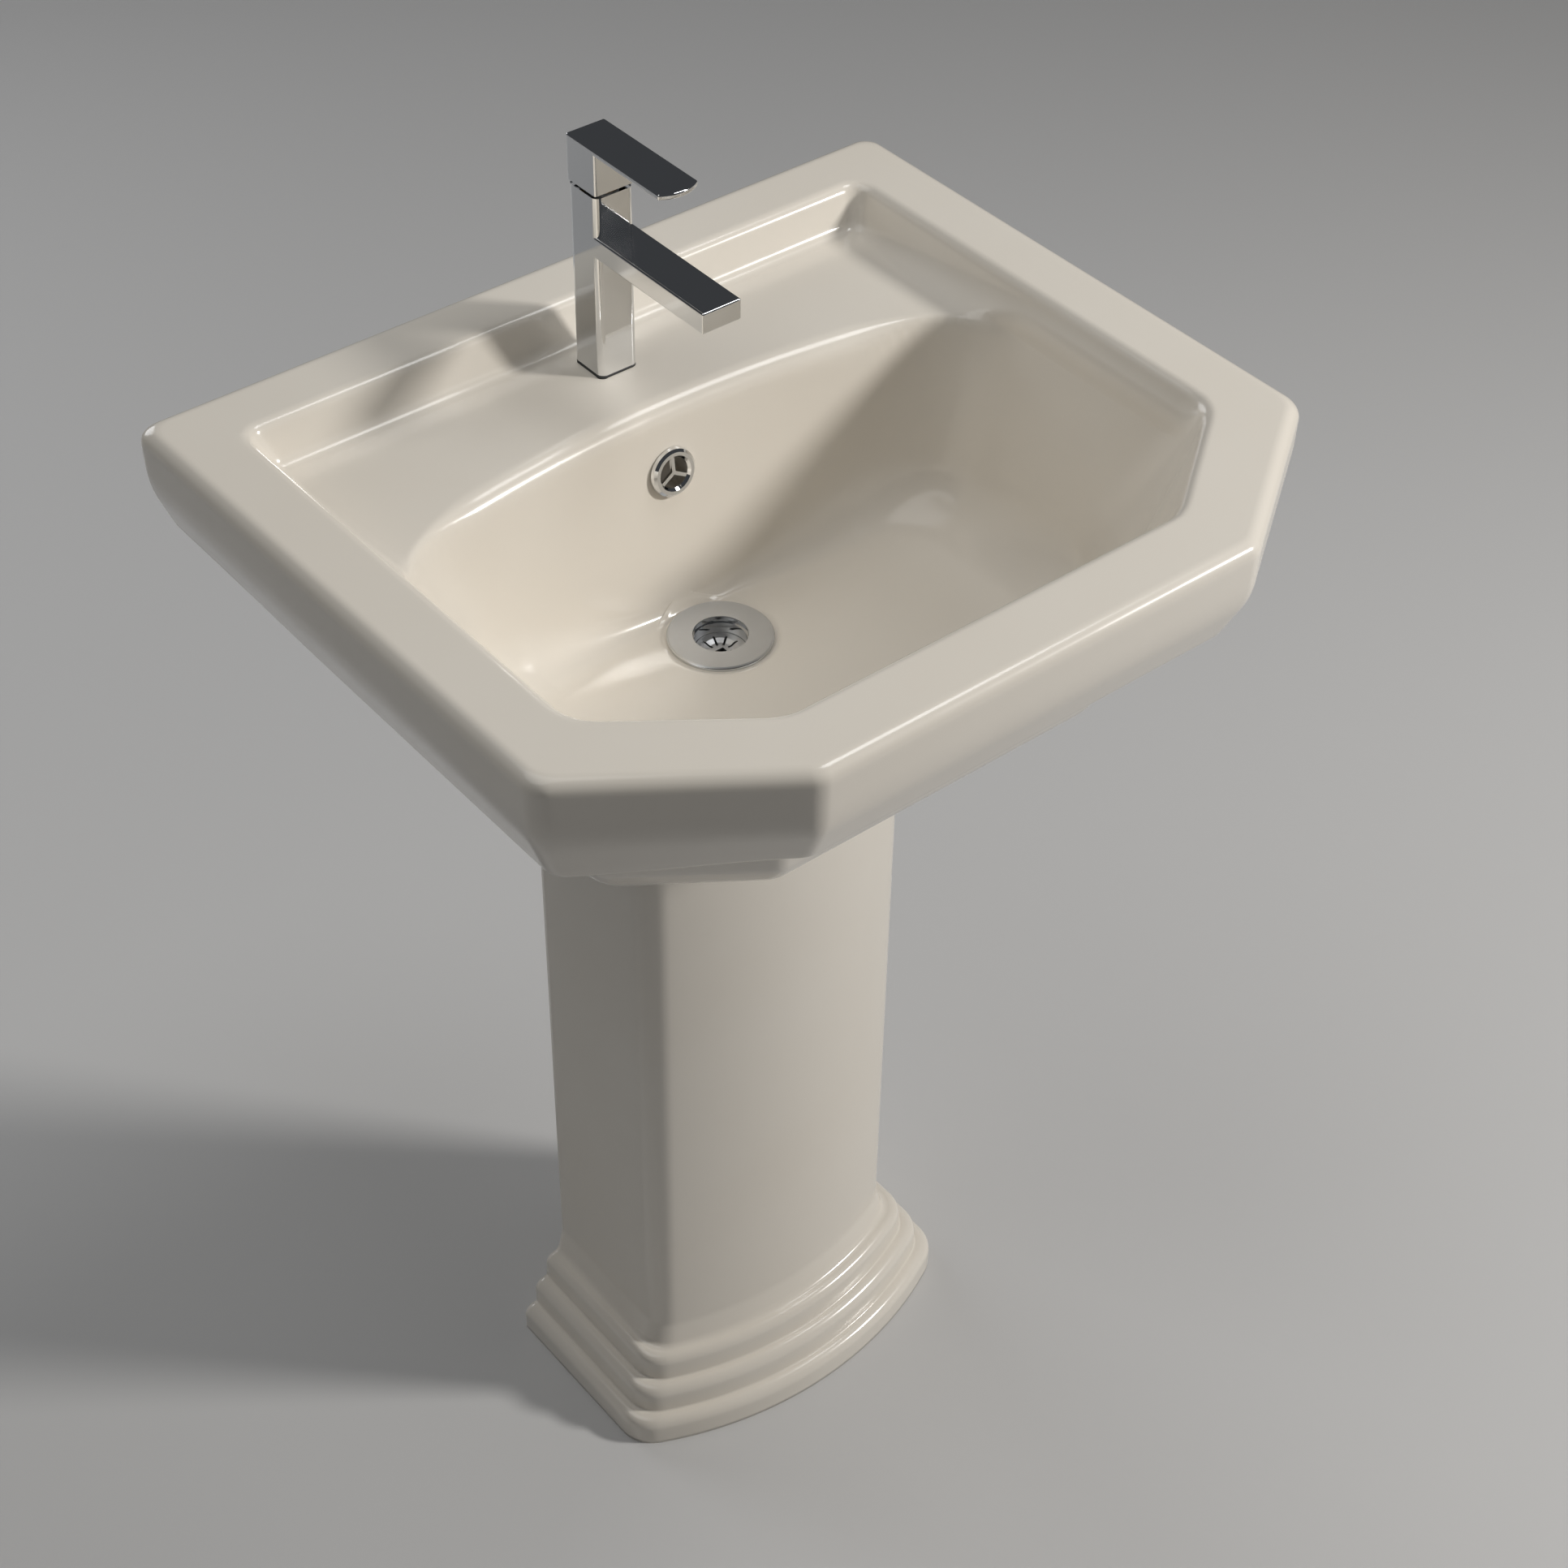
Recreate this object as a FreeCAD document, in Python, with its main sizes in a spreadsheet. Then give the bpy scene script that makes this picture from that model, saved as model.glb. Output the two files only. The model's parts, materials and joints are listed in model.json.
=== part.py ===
"""A pedestal wash basin with a slim lever tap, its waste and its bottle trap, as separate pieces.

Millimetres. X runs along the wall, Y towards the wall and Z up. The origin is on the floor under the
middle of the basin, so the wall is at Y = basin_depth / 2.
"""
import FreeCAD, Part
import math
import os
import re

import Sketcher
from FreeCAD import Placement, Rotation, Vector

SIZES = {
    # basin, seen from above: a rectangle with two cut front corners
    "basin_width": 600, "basin_depth": 520, "rim_height": 865,
    "cut_across": 131, "cut_deep": 91,
    "rim_width": 50, "rim_round": 6, "rim_ease": 4, "rim_thick": 12,
    "fascia_height": 42, "apron_height": 88, "apron_inset": 18, "wall_thick": 10,
    # deck and bowl
    "deck_drop": 28.5, "deck_thick": 15, "recess_taper": 9,
    "bowl_back": 107, "bowl_corner_across": 48, "bowl_corner_deep": 42,
    "bowl_foot_height": 722, "bowl_foot_inset": 104, "bowl_foot_back": 91,
    "floor_edge_height": 701, "floor_edge_inset": 126, "floor_edge_back": 88.5,
    "floor_middle_share": 0.3, "underside_height": 668, "underside_inset": 132,
    "underside_back": 113, "panel_width": 380, "panel_drop": 180, "panel_thick": 14,
    "fixing_spacing": 280, "fixing_drop": 112, "fixing_bore": 6,
    # waste and overflow
    "waste_ahead": 49, "flange_top": 684, "flange_radius": 36.5, "flange_thick": 3, "flange_rim": 1.2,
    "throat_radius": 19, "throat_step": 5, "strainer_seat": 18.2, "strainer_depth": 15,
    "ledge_radius": 14.5, "ledge_thick": 2, "tail_radius": 20.9, "tail_bore": 17.5, "tail_length": 84,
    "slot_width": 8, "slot_top": 18, "slot_height": 22, "seal_thick": 1, "seal_inner": 24,
    "waste_bore": 23, "boss_radius": 40, "boss_height": 640,
    "overflow_height": 788, "overflow_back": 100.5, "overflow_tilt": 81.8, "overflow_radius": 17.5,
    "overflow_inner": 11, "overflow_proud": 4, "overflow_gap": 0.3, "overflow_sleeve": 12.4,
    "overflow_bore": 14.3, "sleeve_length": 12, "spoke_width": 2.6, "spoke_thick": 2,
    "duct_half": 26, "duct_back": 136, "channel_half": 14,
    "channel_front": 116, "channel_back": 127, "channel_top": 800, "channel_floor": 652,
    "channel_low": 664, "duct_top": 814,
    # strainer
    "strainer_radius": 18, "strainer_thick": 1.5, "strainer_dish": 1.5, "strainer_slots": 10,
    "strainer_slot_width": 1.5, "strainer_slot_start": 6.5, "strainer_slot_end": 14.5,
    "key_width": 7.3, "key_height": 4.5,
    # under the basin
    "washer_outer": 34, "washer_thick": 5, "tail_clear": 21, "backnut_flats": 60, "backnut_height": 11,
    # trap
    "pipe_radius": 16, "pipe_bore": 14.4, "inlet_top": 598, "inlet_collar": 20.4, "collar_thick": 2.4,
    "inlet_bottom": 500, "union_radius": 26, "union_clear": 16.4, "union_lip": 3, "union_height": 24,
    "trap_top": 556, "trap_neck": 21, "trap_neck_height": 22, "trap_radius": 33, "trap_wall": 3,
    "trap_bottom": 470, "trap_shoulder": 528,
    "cup_radius": 36, "cup_depth": 42, "cup_overlap": 11, "cup_round": 8,
    "cup_wall": 3, "outlet_height": 503, "branch_length": 26, "branch_radius": 21,
    "outlet_start": 34, "wall_flange_radius": 34, "wall_flange_thick": 9, "wall_flange_skin": 1.6,
    "washer_depth": 5.4, "inlet_nut_top": 18, "rib_out": 0.8, "rib_radius": 2.2, "rib_count": 12,
    # gaps between pieces that slide, pieces that drop in, and a length past any piece
    "slip_fit": 0.05, "loose_fit": 0.1, "far": 100,
    # pedestal
    "column_half": 114, "column_front": 40, "pedestal_back": 110, "bow_radius": 271, "corner_radius": 24,
    "corner_growth": 0.15, "pedestal_wall": 14, "step_height": 24, "step_out": 12, "foot_out": 40,
    "foot_steps": 3, "step_round": 7,
    # tap body, from the deck up
    "tap_back": 171, "tap_half": 15, "tap_corner": 4.5, "tap_seal": 1, "column_top": 970,
    "spout_reach": 124.5, "spout_top": 942, "spout_thick": 15, "cartridge_bore": 13,
    "cartridge_seat": 922, "shank_socket": 12, "inlet_offset": 4.8, "inlet_thread": 3.5,
    "inlet_depth": 12, "inlet_bore": 2.4, "spout_way": 3.5, "spout_way_height": 933,
    "aerator_ahead": 109, "aerator_bore": 9.3, "aerator_top": 936, "edge_round": 1.2,
    "shank_radius": 10.9, "shank_bore": 9, "shank_bottom": 790, "tap_hole": 12,
    "tap_washer": 19, "tap_washer_thick": 3, "tap_plate_thick": 1.5, "shank_nut_flats": 32,
    "shank_nut_height": 11,
    # aerator
    "aerator_radius": 9.2, "aerator_bottom": 925, "aerator_height": 9.6, "insert_radius": 7.6,
    "insert_height": 7, "insert_cells": 6, "cell_circle": 4.7, "cell_radius": 1.7,
    # cartridge, heights from its seat
    "housing_radius": 12.9, "housing_bore": 11.6, "housing_height": 41, "port_seal": 0.8,
    "base_height": 7, "port_radius": 2.2, "disc_height": 3.4, "fixed_disc": 11.4, "moving_disc": 8.8,
    "moving_disc_offset": 1.5, "disc_gap": 0.05, "carrier_height": 4.4, "fork_top": 48.5,
    "fork_floor": 37, "fork_half": 2.4, "fork_front": 5.2, "fork_back": 1.2, "fork_wall": 1.2,
    "rotor_bottom": 20, "rotor_shoulder": 36, "rotor_radius": 11.52, "rotor_neck": 10.2,
    "rotor_slot_half": 2.6, "rotor_slot_front": 8.6, "rotor_slot_back": 1.6, "head_bottom": 48.4,
    "head_top": 56, "head_half": 7, "head_front": 10, "head_back": 8, "nut_inner": 10.3,
    "nut_top": 47.5, "slip_ring": 1.2, "window_radius": 4,
    # lever; the pin is measured from the tap's axis
    "lever_bottom": 972.3, "lever_top": 1004.5, "lever_reach": 86, "plate_thick": 4,
    "lip_radius": 25, "lip_bulge": 5, "lever_wall": 3, "lever_roof": 6, "pin_back": 9.5,
    "pin_height": 974.6, "pin_radius": 1.25, "pin_hole": 1.3, "pin_half": 13.4, "lug_radius": 2,
    "stem_half": 2.2, "stem_front": 3.2, "stem_back": 0.8, "stem_bottom": 963, "block_half": 5,
    "block_front": 5, "block_back": 8, "block_bottom": 986, "grub_radius": 2, "grub_height": 991,
    "plug_radius": 2.6, "plug_thick": 1,
}

DOC = FreeCAD.newDocument("pedestal_sink")
SHEET = DOC.addObject("Spreadsheet::Sheet", "Sizes")
for row, (word, number) in enumerate(SIZES.items(), start=1):
    SHEET.set("A%d" % row, word)
    SHEET.set("B%d" % row, str(number))
    SHEET.setAlias("B%d" % row, word)
DOC.recompute()

DECK = "(rim_height - deck_drop)"
BODIES = []


# ---------------------------------------------------------------- helpers

def bound(text):
    """An expression with every sheet name written out in full."""
    return re.sub(r"[a-z_]+", lambda word: "Sizes." + word[0] if word[0] in SIZES else word[0], text)


def number(text):
    """What an expression in the sheet's names comes to."""
    return float(SHEET.evalExpression(bound(text)))


def piece(name, at=("0", "0", "0"), rotation=None):
    """A new body for one real piece, placed at an expression for each axis."""
    body = DOC.addObject("PartDesign::Body", name)
    body.Label = name
    if rotation:
        body.Placement = Placement(Vector(), rotation)
    for axis, text in zip("xyz", at):
        body.setExpression("Placement.Base." + axis, bound(text))
    BODIES.append(body)
    return body


def new_sketch(body, plane, offset):
    """An empty sketch on one of the body's own planes, moved along that plane's normal."""
    sketch = body.newObject("Sketcher::SketchObject", body.Name + "_sketch")
    role = plane + "_Plane"
    own_plane = [item for item in body.Origin.OriginFeatures if item.Role == role][0]
    sketch.AttachmentSupport = (own_plane, [""])
    sketch.MapMode = "FlatFace"
    sketch.setExpression("AttachmentOffset.Base.z", bound(offset))
    return sketch


def pin_point(sketch, edge, end, across, up):
    """Hold one point of a sketch at two bound distances from the sketch's origin."""
    for kind, text, axis in (("DistanceX", across, -2), ("DistanceY", up, -1)):
        distance = number(text)
        if abs(distance) < 1e-9:
            sketch.addConstraint(Sketcher.Constraint("PointOnObject", edge, end, axis))
        else:
            index = sketch.addConstraint(Sketcher.Constraint(kind, -1, 1, edge, end, distance))
            sketch.setExpression("Constraints[%d]" % index, bound(text))


def arc_between(start, end, radius):
    """The short arc from start to end, anticlockwise, so that it bulges out of the outline."""
    chord = end - start
    rise = math.sqrt(radius ** 2 - (chord.Length / 2) ** 2)
    inward = Vector(-chord.y, chord.x, 0).normalize()
    centre = (start + end) / 2 + inward * rise
    first, last = [math.atan2(point.y - centre.y, point.x - centre.x) for point in (start, end)]
    return Part.ArcOfCircle(Part.Circle(centre, Vector(0, 0, 1), radius), first, last)


def outline(body, plane, offset, points, arcs=None):
    """A closed outline, anticlockwise. arcs gives the radius of each edge that isn't straight."""
    arcs = arcs or {}
    sketch = new_sketch(body, plane, offset)
    places = [Vector(number(across), number(up), 0) for across, up in points]
    count = len(points)
    for index, start in enumerate(places):
        end = places[(index + 1) % count]
        if index in arcs:
            sketch.addGeometry(arc_between(start, end, number(arcs[index])))
        else:
            sketch.addGeometry(Part.LineSegment(start, end))
    for index, (across, up) in enumerate(points):
        sketch.addConstraint(Sketcher.Constraint("Coincident", index, 2, (index + 1) % count, 1))
        pin_point(sketch, index, 1, across, up)
    for index, radius in arcs.items():
        place = sketch.addConstraint(Sketcher.Constraint("Radius", index, number(radius)))
        sketch.setExpression("Constraints[%d]" % place, bound(radius))
    return sketch


def rounds(body, plane, offset, circles):
    """A sketch of whole circles, each (across, up, radius)."""
    sketch = new_sketch(body, plane, offset)
    for index, (across, up, radius) in enumerate(circles):
        centre = Vector(number(across), number(up), 0)
        sketch.addGeometry(Part.Circle(centre, Vector(0, 0, 1), number(radius)))
        pin_point(sketch, index, 3, across, up)
        place = sketch.addConstraint(Sketcher.Constraint("Radius", index, number(radius)))
        sketch.setExpression("Constraints[%d]" % place, bound(radius))
    return sketch


def box_points(left, right, low, high):
    return [(left, low), (right, low), (right, high), (left, high)]


def rounded_box(half_across, half_up, radius):
    """A centred rectangle with round corners, as outline points and arcs."""
    across, up = "(%s - %s)" % (half_across, radius), "(%s - %s)" % (half_up, radius)
    points = [("-" + across, "-" + half_up), (across, "-" + half_up),
              (half_across, "-" + up), (half_across, up),
              (across, half_up), ("-" + across, half_up),
              ("-" + half_across, up), ("-" + half_across, "-" + up)]
    return points, {1: radius, 3: radius, 5: radius, 7: radius}


def extrude(body, sketch, length, cut=False, both_ways=False, backwards=False):
    """Pad a sketch, or pocket it. A pad runs along the sketch's normal and so does a pocket."""
    before = body.Shape.Volume if cut else 0
    feature = body.newObject("PartDesign::Pocket" if cut else "PartDesign::Pad", body.Name + "_extrude")
    feature.Profile = sketch
    feature.setExpression("Length", bound(length))
    if both_ways:
        feature.SideType = "Symmetric"
    feature.Reversed = backwards != cut
    sketch.Visibility = False
    DOC.recompute()
    if cut and not body.Shape.Volume < before:
        raise ValueError(body.Label + ": a pocket removes nothing")
    return feature


def loft(body, sketches, cut=False):
    """Join sections that have the same number of corners with straight sides, or cut that shape."""
    feature = body.newObject("PartDesign::SubtractiveLoft" if cut else "PartDesign::AdditiveLoft",
                             body.Name + "_loft")
    feature.Profile = sketches[0]
    feature.Sections = sketches[1:]
    feature.Ruled = True
    DOC.recompute()
    return feature


def turn(body, points, cut=False):
    """Revolve a profile of (radius, height) points round the body's Z axis, or cut that shape."""
    before = body.Shape.Volume if cut else 0
    sketch = outline(body, "XZ", "0", points)
    feature = body.newObject("PartDesign::Groove" if cut else "PartDesign::Revolution",
                             body.Name + "_turn")
    feature.Profile = sketch
    feature.ReferenceAxis = (sketch, ["V_Axis"])
    feature.Angle = 360
    DOC.recompute()
    if cut and not body.Shape.Volume < before:
        raise ValueError(body.Label + ": a groove removes nothing")
    return feature


def repeat(body, feature, count):
    """Repeat a feature round the body's Z axis."""
    pattern = body.newObject("PartDesign::PolarPattern", body.Name + "_pattern")
    pattern.Originals = [feature]
    axis = [item for item in body.Origin.OriginFeatures if item.Role == "Z_Axis"][0]
    pattern.Axis = (axis, [""])
    pattern.Angle = 360
    pattern.setExpression("Occurrences", bound(count))
    body.Tip = pattern
    DOC.recompute()
    return pattern


def soften(body, radius, wanted):
    """Fillet the edges of the body's tip for which wanted(edge) is true."""
    base = body.Tip
    names = ["Edge%d" % place for place, edge in enumerate(base.Shape.Edges, start=1) if wanted(edge)]
    feature = body.newObject("PartDesign::Fillet", body.Name + "_fillet")
    feature.Base = (base, names)
    feature.setExpression("Radius", bound(radius))
    DOC.recompute()
    return feature


def turned(name, points, at=("0", "0", "0"), rotation=None):
    """A piece that is one profile turned round its own Z axis."""
    body = piece(name, at, rotation)
    turn(body, points)
    return body


def ring_points(inner, outer, low, high):
    return [(inner, low), (outer, low), (outer, high), (inner, high)]


def hex_nut(name, flats, height, bore, at):
    """A hexagon nut whose seat is at the top, with its bore right through."""
    body = piece(name, at)
    corner = "(%s / sqrt(3))" % flats
    points = [("%s * cos(%d deg)" % (corner, angle), "%s * sin(%d deg)" % (corner, angle))
              for angle in range(0, 360, 60)]
    extrude(body, outline(body, "XY", "0", points), height, backwards=True)
    extrude(body, rounds(body, "XY", "0", [("0", "0", bore)]), height, cut=True, backwards=True)
    return body


# ---------------------------------------------------------------- basin

CUT_SHARE = ("(cut_across + cut_deep - sqrt(cut_across * cut_across + cut_deep * cut_deep))"
             " / (cut_across * cut_deep)")


def plan(inset, back=None, corner=False):
    """The basin's plan moved in by inset on every side. back replaces the back edge's place, and
    corner cuts the back corners too, as the bowl's are."""
    side = "(basin_width / 2 - (%s))" % inset
    front = "(basin_depth / 2 - (%s))" % inset
    keep = "(1 - (%s) * %s)" % (inset, CUT_SHARE)
    turn_in = "(%s - cut_across * %s)" % (side, keep)
    turn_back = "(%s - cut_deep * %s)" % (front, keep)
    back = back or front
    ahead = [("-" + turn_in, "-" + front), (turn_in, "-" + front), (side, "-" + turn_back)]
    if not corner:
        behind = [(side, back), ("-" + side, back)]
    else:
        low, narrow = "(%s - bowl_corner_deep)" % back, "(%s - bowl_corner_across)" % side
        behind = [(side, low), (narrow, back), ("-" + narrow, back), ("-" + side, low)]
    return ahead + behind + [("-" + side, "-" + turn_back)]


def towards_waste(points, share):
    """The same outline drawn in towards the waste."""
    return [("(%s) * %s" % (across, share),
             "waste_ahead + ((%s) - waste_ahead) * %s" % (up, share)) for across, up in points]


def section(body, height, points):
    return outline(body, "XY", height, points)


def make_basin():
    body = piece("basin")
    loft(body, [section(body, "rim_height", plan("rim_ease")),
                section(body, "rim_height - rim_round", plan("0")),
                section(body, "rim_height - fascia_height", plan("0")),
                section(body, "rim_height - apron_height", plan("apron_inset", "basin_depth / 2"))])
    behind = "(basin_depth / 2 - wall_thick)"
    loft(body, [section(body, "rim_height - apron_height - 1", plan("apron_inset + wall_thick", behind)),
                section(body, "rim_height - fascia_height", plan("wall_thick", behind)),
                section(body, "rim_height - rim_thick", plan("wall_thick", behind))], cut=True)
    deck_block = section(body, DECK + " - deck_thick",
                         plan("rim_width - wall_thick", "basin_depth / 2 - 5"))
    extrude(body, deck_block, "deck_drop + deck_thick - rim_thick / 2")
    loft(body, [section(body, "rim_height - rim_thick",
                        plan("rim_width - wall_thick", "bowl_back + wall_thick", True)),
                section(body, "bowl_foot_height - 10",
                        plan("bowl_foot_inset - wall_thick", "bowl_foot_back + wall_thick", True)),
                section(body, "underside_height", plan("underside_inset", "underside_back", True))])
    add_back_panel(body)
    add_waste_boss_and_duct(body)
    loft(body, [section(body, "rim_height + 1", plan("rim_width - recess_taper / deck_drop")),
                section(body, DECK, plan("rim_width + recess_taper"))], cut=True)
    bowl_rim = plan("rim_width + recess_taper - 1", "bowl_back + 1", True)
    floor_edge = plan("floor_edge_inset", "floor_edge_back", True)
    loft(body, [section(body, DECK + " + 3", bowl_rim),
                section(body, "bowl_foot_height", plan("bowl_foot_inset", "bowl_foot_back", True)),
                section(body, "floor_edge_height", floor_edge),
                section(body, "flange_top - flange_thick",
                        towards_waste(floor_edge, "floor_middle_share"))], cut=True)
    bore_basin(body)
    return body


def add_back_panel(body):
    """The panel that bears on the wall below the rim, and carries the two fixing holes."""
    low, high = "rim_height - panel_drop", "rim_height - fascia_height"
    panel = outline(body, "XZ", "-basin_depth / 2",
                    box_points("-panel_width / 2", "panel_width / 2", low, high))
    extrude(body, panel, "panel_thick")


def add_waste_boss_and_duct(body):
    """The thick place round the waste, and the overflow's duct down the back of the bowl."""
    boss = rounds(body, "XY", "boss_height", [("0", "waste_ahead", "boss_radius")])
    extrude(body, boss, "underside_height - boss_height + 4")
    duct = outline(body, "YZ", "0", [("waste_ahead", "boss_height"), ("duct_back", "boss_height"),
                                     ("duct_back", "duct_top"), ("overflow_back + 10", "duct_top"),
                                     ("overflow_back + 5", "underside_height + 10"),
                                     ("waste_ahead", "underside_height + 4")])
    extrude(body, duct, "2 * duct_half", both_ways=True)


def bore_basin(body):
    """Every hole through the ceramic."""
    channel = outline(body, "YZ", "0", [("waste_ahead", "channel_floor"), ("channel_back", "channel_floor"),
                                        ("channel_back", "channel_top"), ("channel_front", "channel_top"),
                                        ("channel_front", "channel_low"), ("waste_ahead", "channel_low")])
    extrude(body, channel, "2 * channel_half", cut=True, both_ways=True)
    seat = rounds(body, "XY", "flange_top - flange_thick - seal_thick",
                  [("0", "waste_ahead", "flange_radius + 0.6")])
    extrude(body, seat, "flange_thick + seal_thick + 1", cut=True)
    waste = rounds(body, "XY", "boss_height - 1", [("0", "waste_ahead", "waste_bore")])
    extrude(body, waste, "far", cut=True)
    overflow = rounds(body, "XZ", "-channel_back", [("0", "overflow_height", "overflow_bore")])
    extrude(body, overflow, "channel_back - overflow_back + 8", cut=True)
    tap = rounds(body, "XY", DECK + " - deck_thick - 1", [("0", "tap_back", "tap_hole")])
    extrude(body, tap, "deck_thick + 5", cut=True)
    fixings = rounds(body, "XZ", "-basin_depth / 2 - 1",
                     [(side + "fixing_spacing / 2", "rim_height - fixing_drop", "fixing_bore")
                      for side in ("-", "")])
    extrude(body, fixings, "panel_thick + 10", cut=True)


def make_overflow_ring():
    """A round ring with three spokes, and the sleeve that grips the hole behind it."""
    body = piece("overflow_ring", ("0", "overflow_back - overflow_gap", "overflow_height"),
                 Rotation(Vector(1, 0, 0), number("overflow_tilt")))
    turn(body, [("overflow_inner", "0"), ("overflow_radius", "0"),
                ("overflow_radius - 0.6", "overflow_proud * 0.6"),
                ("overflow_radius - 2.4", "overflow_proud"), ("overflow_inner + 1.6", "overflow_proud"),
                ("overflow_inner", "overflow_proud * 0.5")])
    turn(body, ring_points("overflow_inner", "overflow_sleeve", "-sleeve_length", "1"))
    spoke = outline(body, "XY", "0", box_points("-spoke_width / 2", "spoke_width / 2",
                                                "0", "overflow_inner + 1"))
    repeat(body, extrude(body, spoke, "spoke_thick"), "3")
    return body


# ---------------------------------------------------------------- waste

def waste_piece(name, points):
    return turned(name, points, ("0", "waste_ahead", "flange_top"))


def make_waste():
    """The flange and its threaded tail, the strainer, and what clamps them in the ceramic."""
    flange = waste_piece("waste_flange", [
        ("throat_radius", "0"), ("throat_radius", "-throat_step"), ("strainer_seat", "-throat_step"),
        ("strainer_seat", "-strainer_depth"), ("ledge_radius", "-strainer_depth"),
        ("ledge_radius", "-strainer_depth - ledge_thick"),
        ("tail_bore", "-strainer_depth - ledge_thick - 2"), ("tail_bore", "-tail_length"),
        ("tail_radius", "-tail_length"), ("tail_radius", "-flange_thick"),
        ("flange_radius", "-flange_thick"), ("flange_radius", "-flange_rim"),
        ("flange_radius - flange_rim", "0")])
    slot = outline(flange, "YZ", "0", box_points("-slot_width / 2", "slot_width / 2",
                                                 "-slot_top - slot_height", "-slot_top"))
    repeat(flange, extrude(flange, slot, "tail_radius + 2", cut=True, backwards=True), "4")

    low = "-strainer_depth"
    strainer = waste_piece("waste_strainer", [
        ("0", low + " - strainer_dish"), ("strainer_radius / 2", low + " - strainer_dish"),
        ("strainer_radius * 0.75", low), ("strainer_radius", low),
        ("strainer_radius", low + " + strainer_thick"),
        ("strainer_radius * 0.7", low + " + strainer_thick"),
        ("strainer_radius / 2", low + " + strainer_thick - strainer_dish"),
        ("0", low + " + strainer_thick - strainer_dish")])
    thin = outline(strainer, "XY", low + " - 4",
                   box_points("strainer_slot_start", "strainer_slot_end",
                              "-strainer_slot_width / 2", "strainer_slot_width / 2"))
    repeat(strainer, extrude(strainer, thin, "far", cut=True), "strainer_slots")
    key = outline(strainer, "XY", low + " - 4",
                  box_points("-key_width / 2", "key_width / 2", "-key_height / 2", "key_height / 2"))
    extrude(strainer, key, "far", cut=True)

    waste_piece("waste_top_seal", ring_points("seal_inner", "flange_radius - 1",
                                              "-flange_thick - seal_thick", "-flange_thick"))
    boss = "boss_height - flange_top"
    waste_piece("waste_bottom_washer", [
        ("tail_clear", boss + " - washer_thick"), ("washer_outer - 3", boss + " - washer_thick"),
        ("washer_outer", boss), ("tail_clear", boss)])
    hex_nut("waste_backnut", "backnut_flats", "backnut_height", "tail_clear",
            ("0", "waste_ahead", "boss_height - washer_thick"))


# ---------------------------------------------------------------- trap

def union_nut(name, at, rotation=None):
    """A ribbed union nut, closed by a lip at its top, which grips a pipe in the socket below."""
    body = piece(name, at, rotation)
    turn(body, [("union_clear", "-union_lip"), ("union_clear", "0"), ("union_radius - 2", "0"),
                ("union_radius", "-2"), ("union_radius", "-union_height"),
                ("trap_neck + 0.2", "-union_height"), ("trap_neck + 0.2", "-union_lip")])
    rib = rounds(body, "XY", "-union_height", [("union_radius + rib_out", "0", "rib_radius")])
    repeat(body, extrude(body, rib, "union_height - 4"), "rib_count")
    return body


def union_washer(name, at, rotation=None):
    """The tapered rubber washer that the union nut squeezes on the pipe."""
    return turned(name, [("pipe_radius", "-union_lip - 5"), ("pipe_radius + 0.7", "-union_lip - 5"),
                         ("trap_neck - 1.1", "-union_lip - 0.4"), ("trap_neck - 1.1", "-union_lip"),
                         ("pipe_radius", "-union_lip")], at, rotation)


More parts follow.
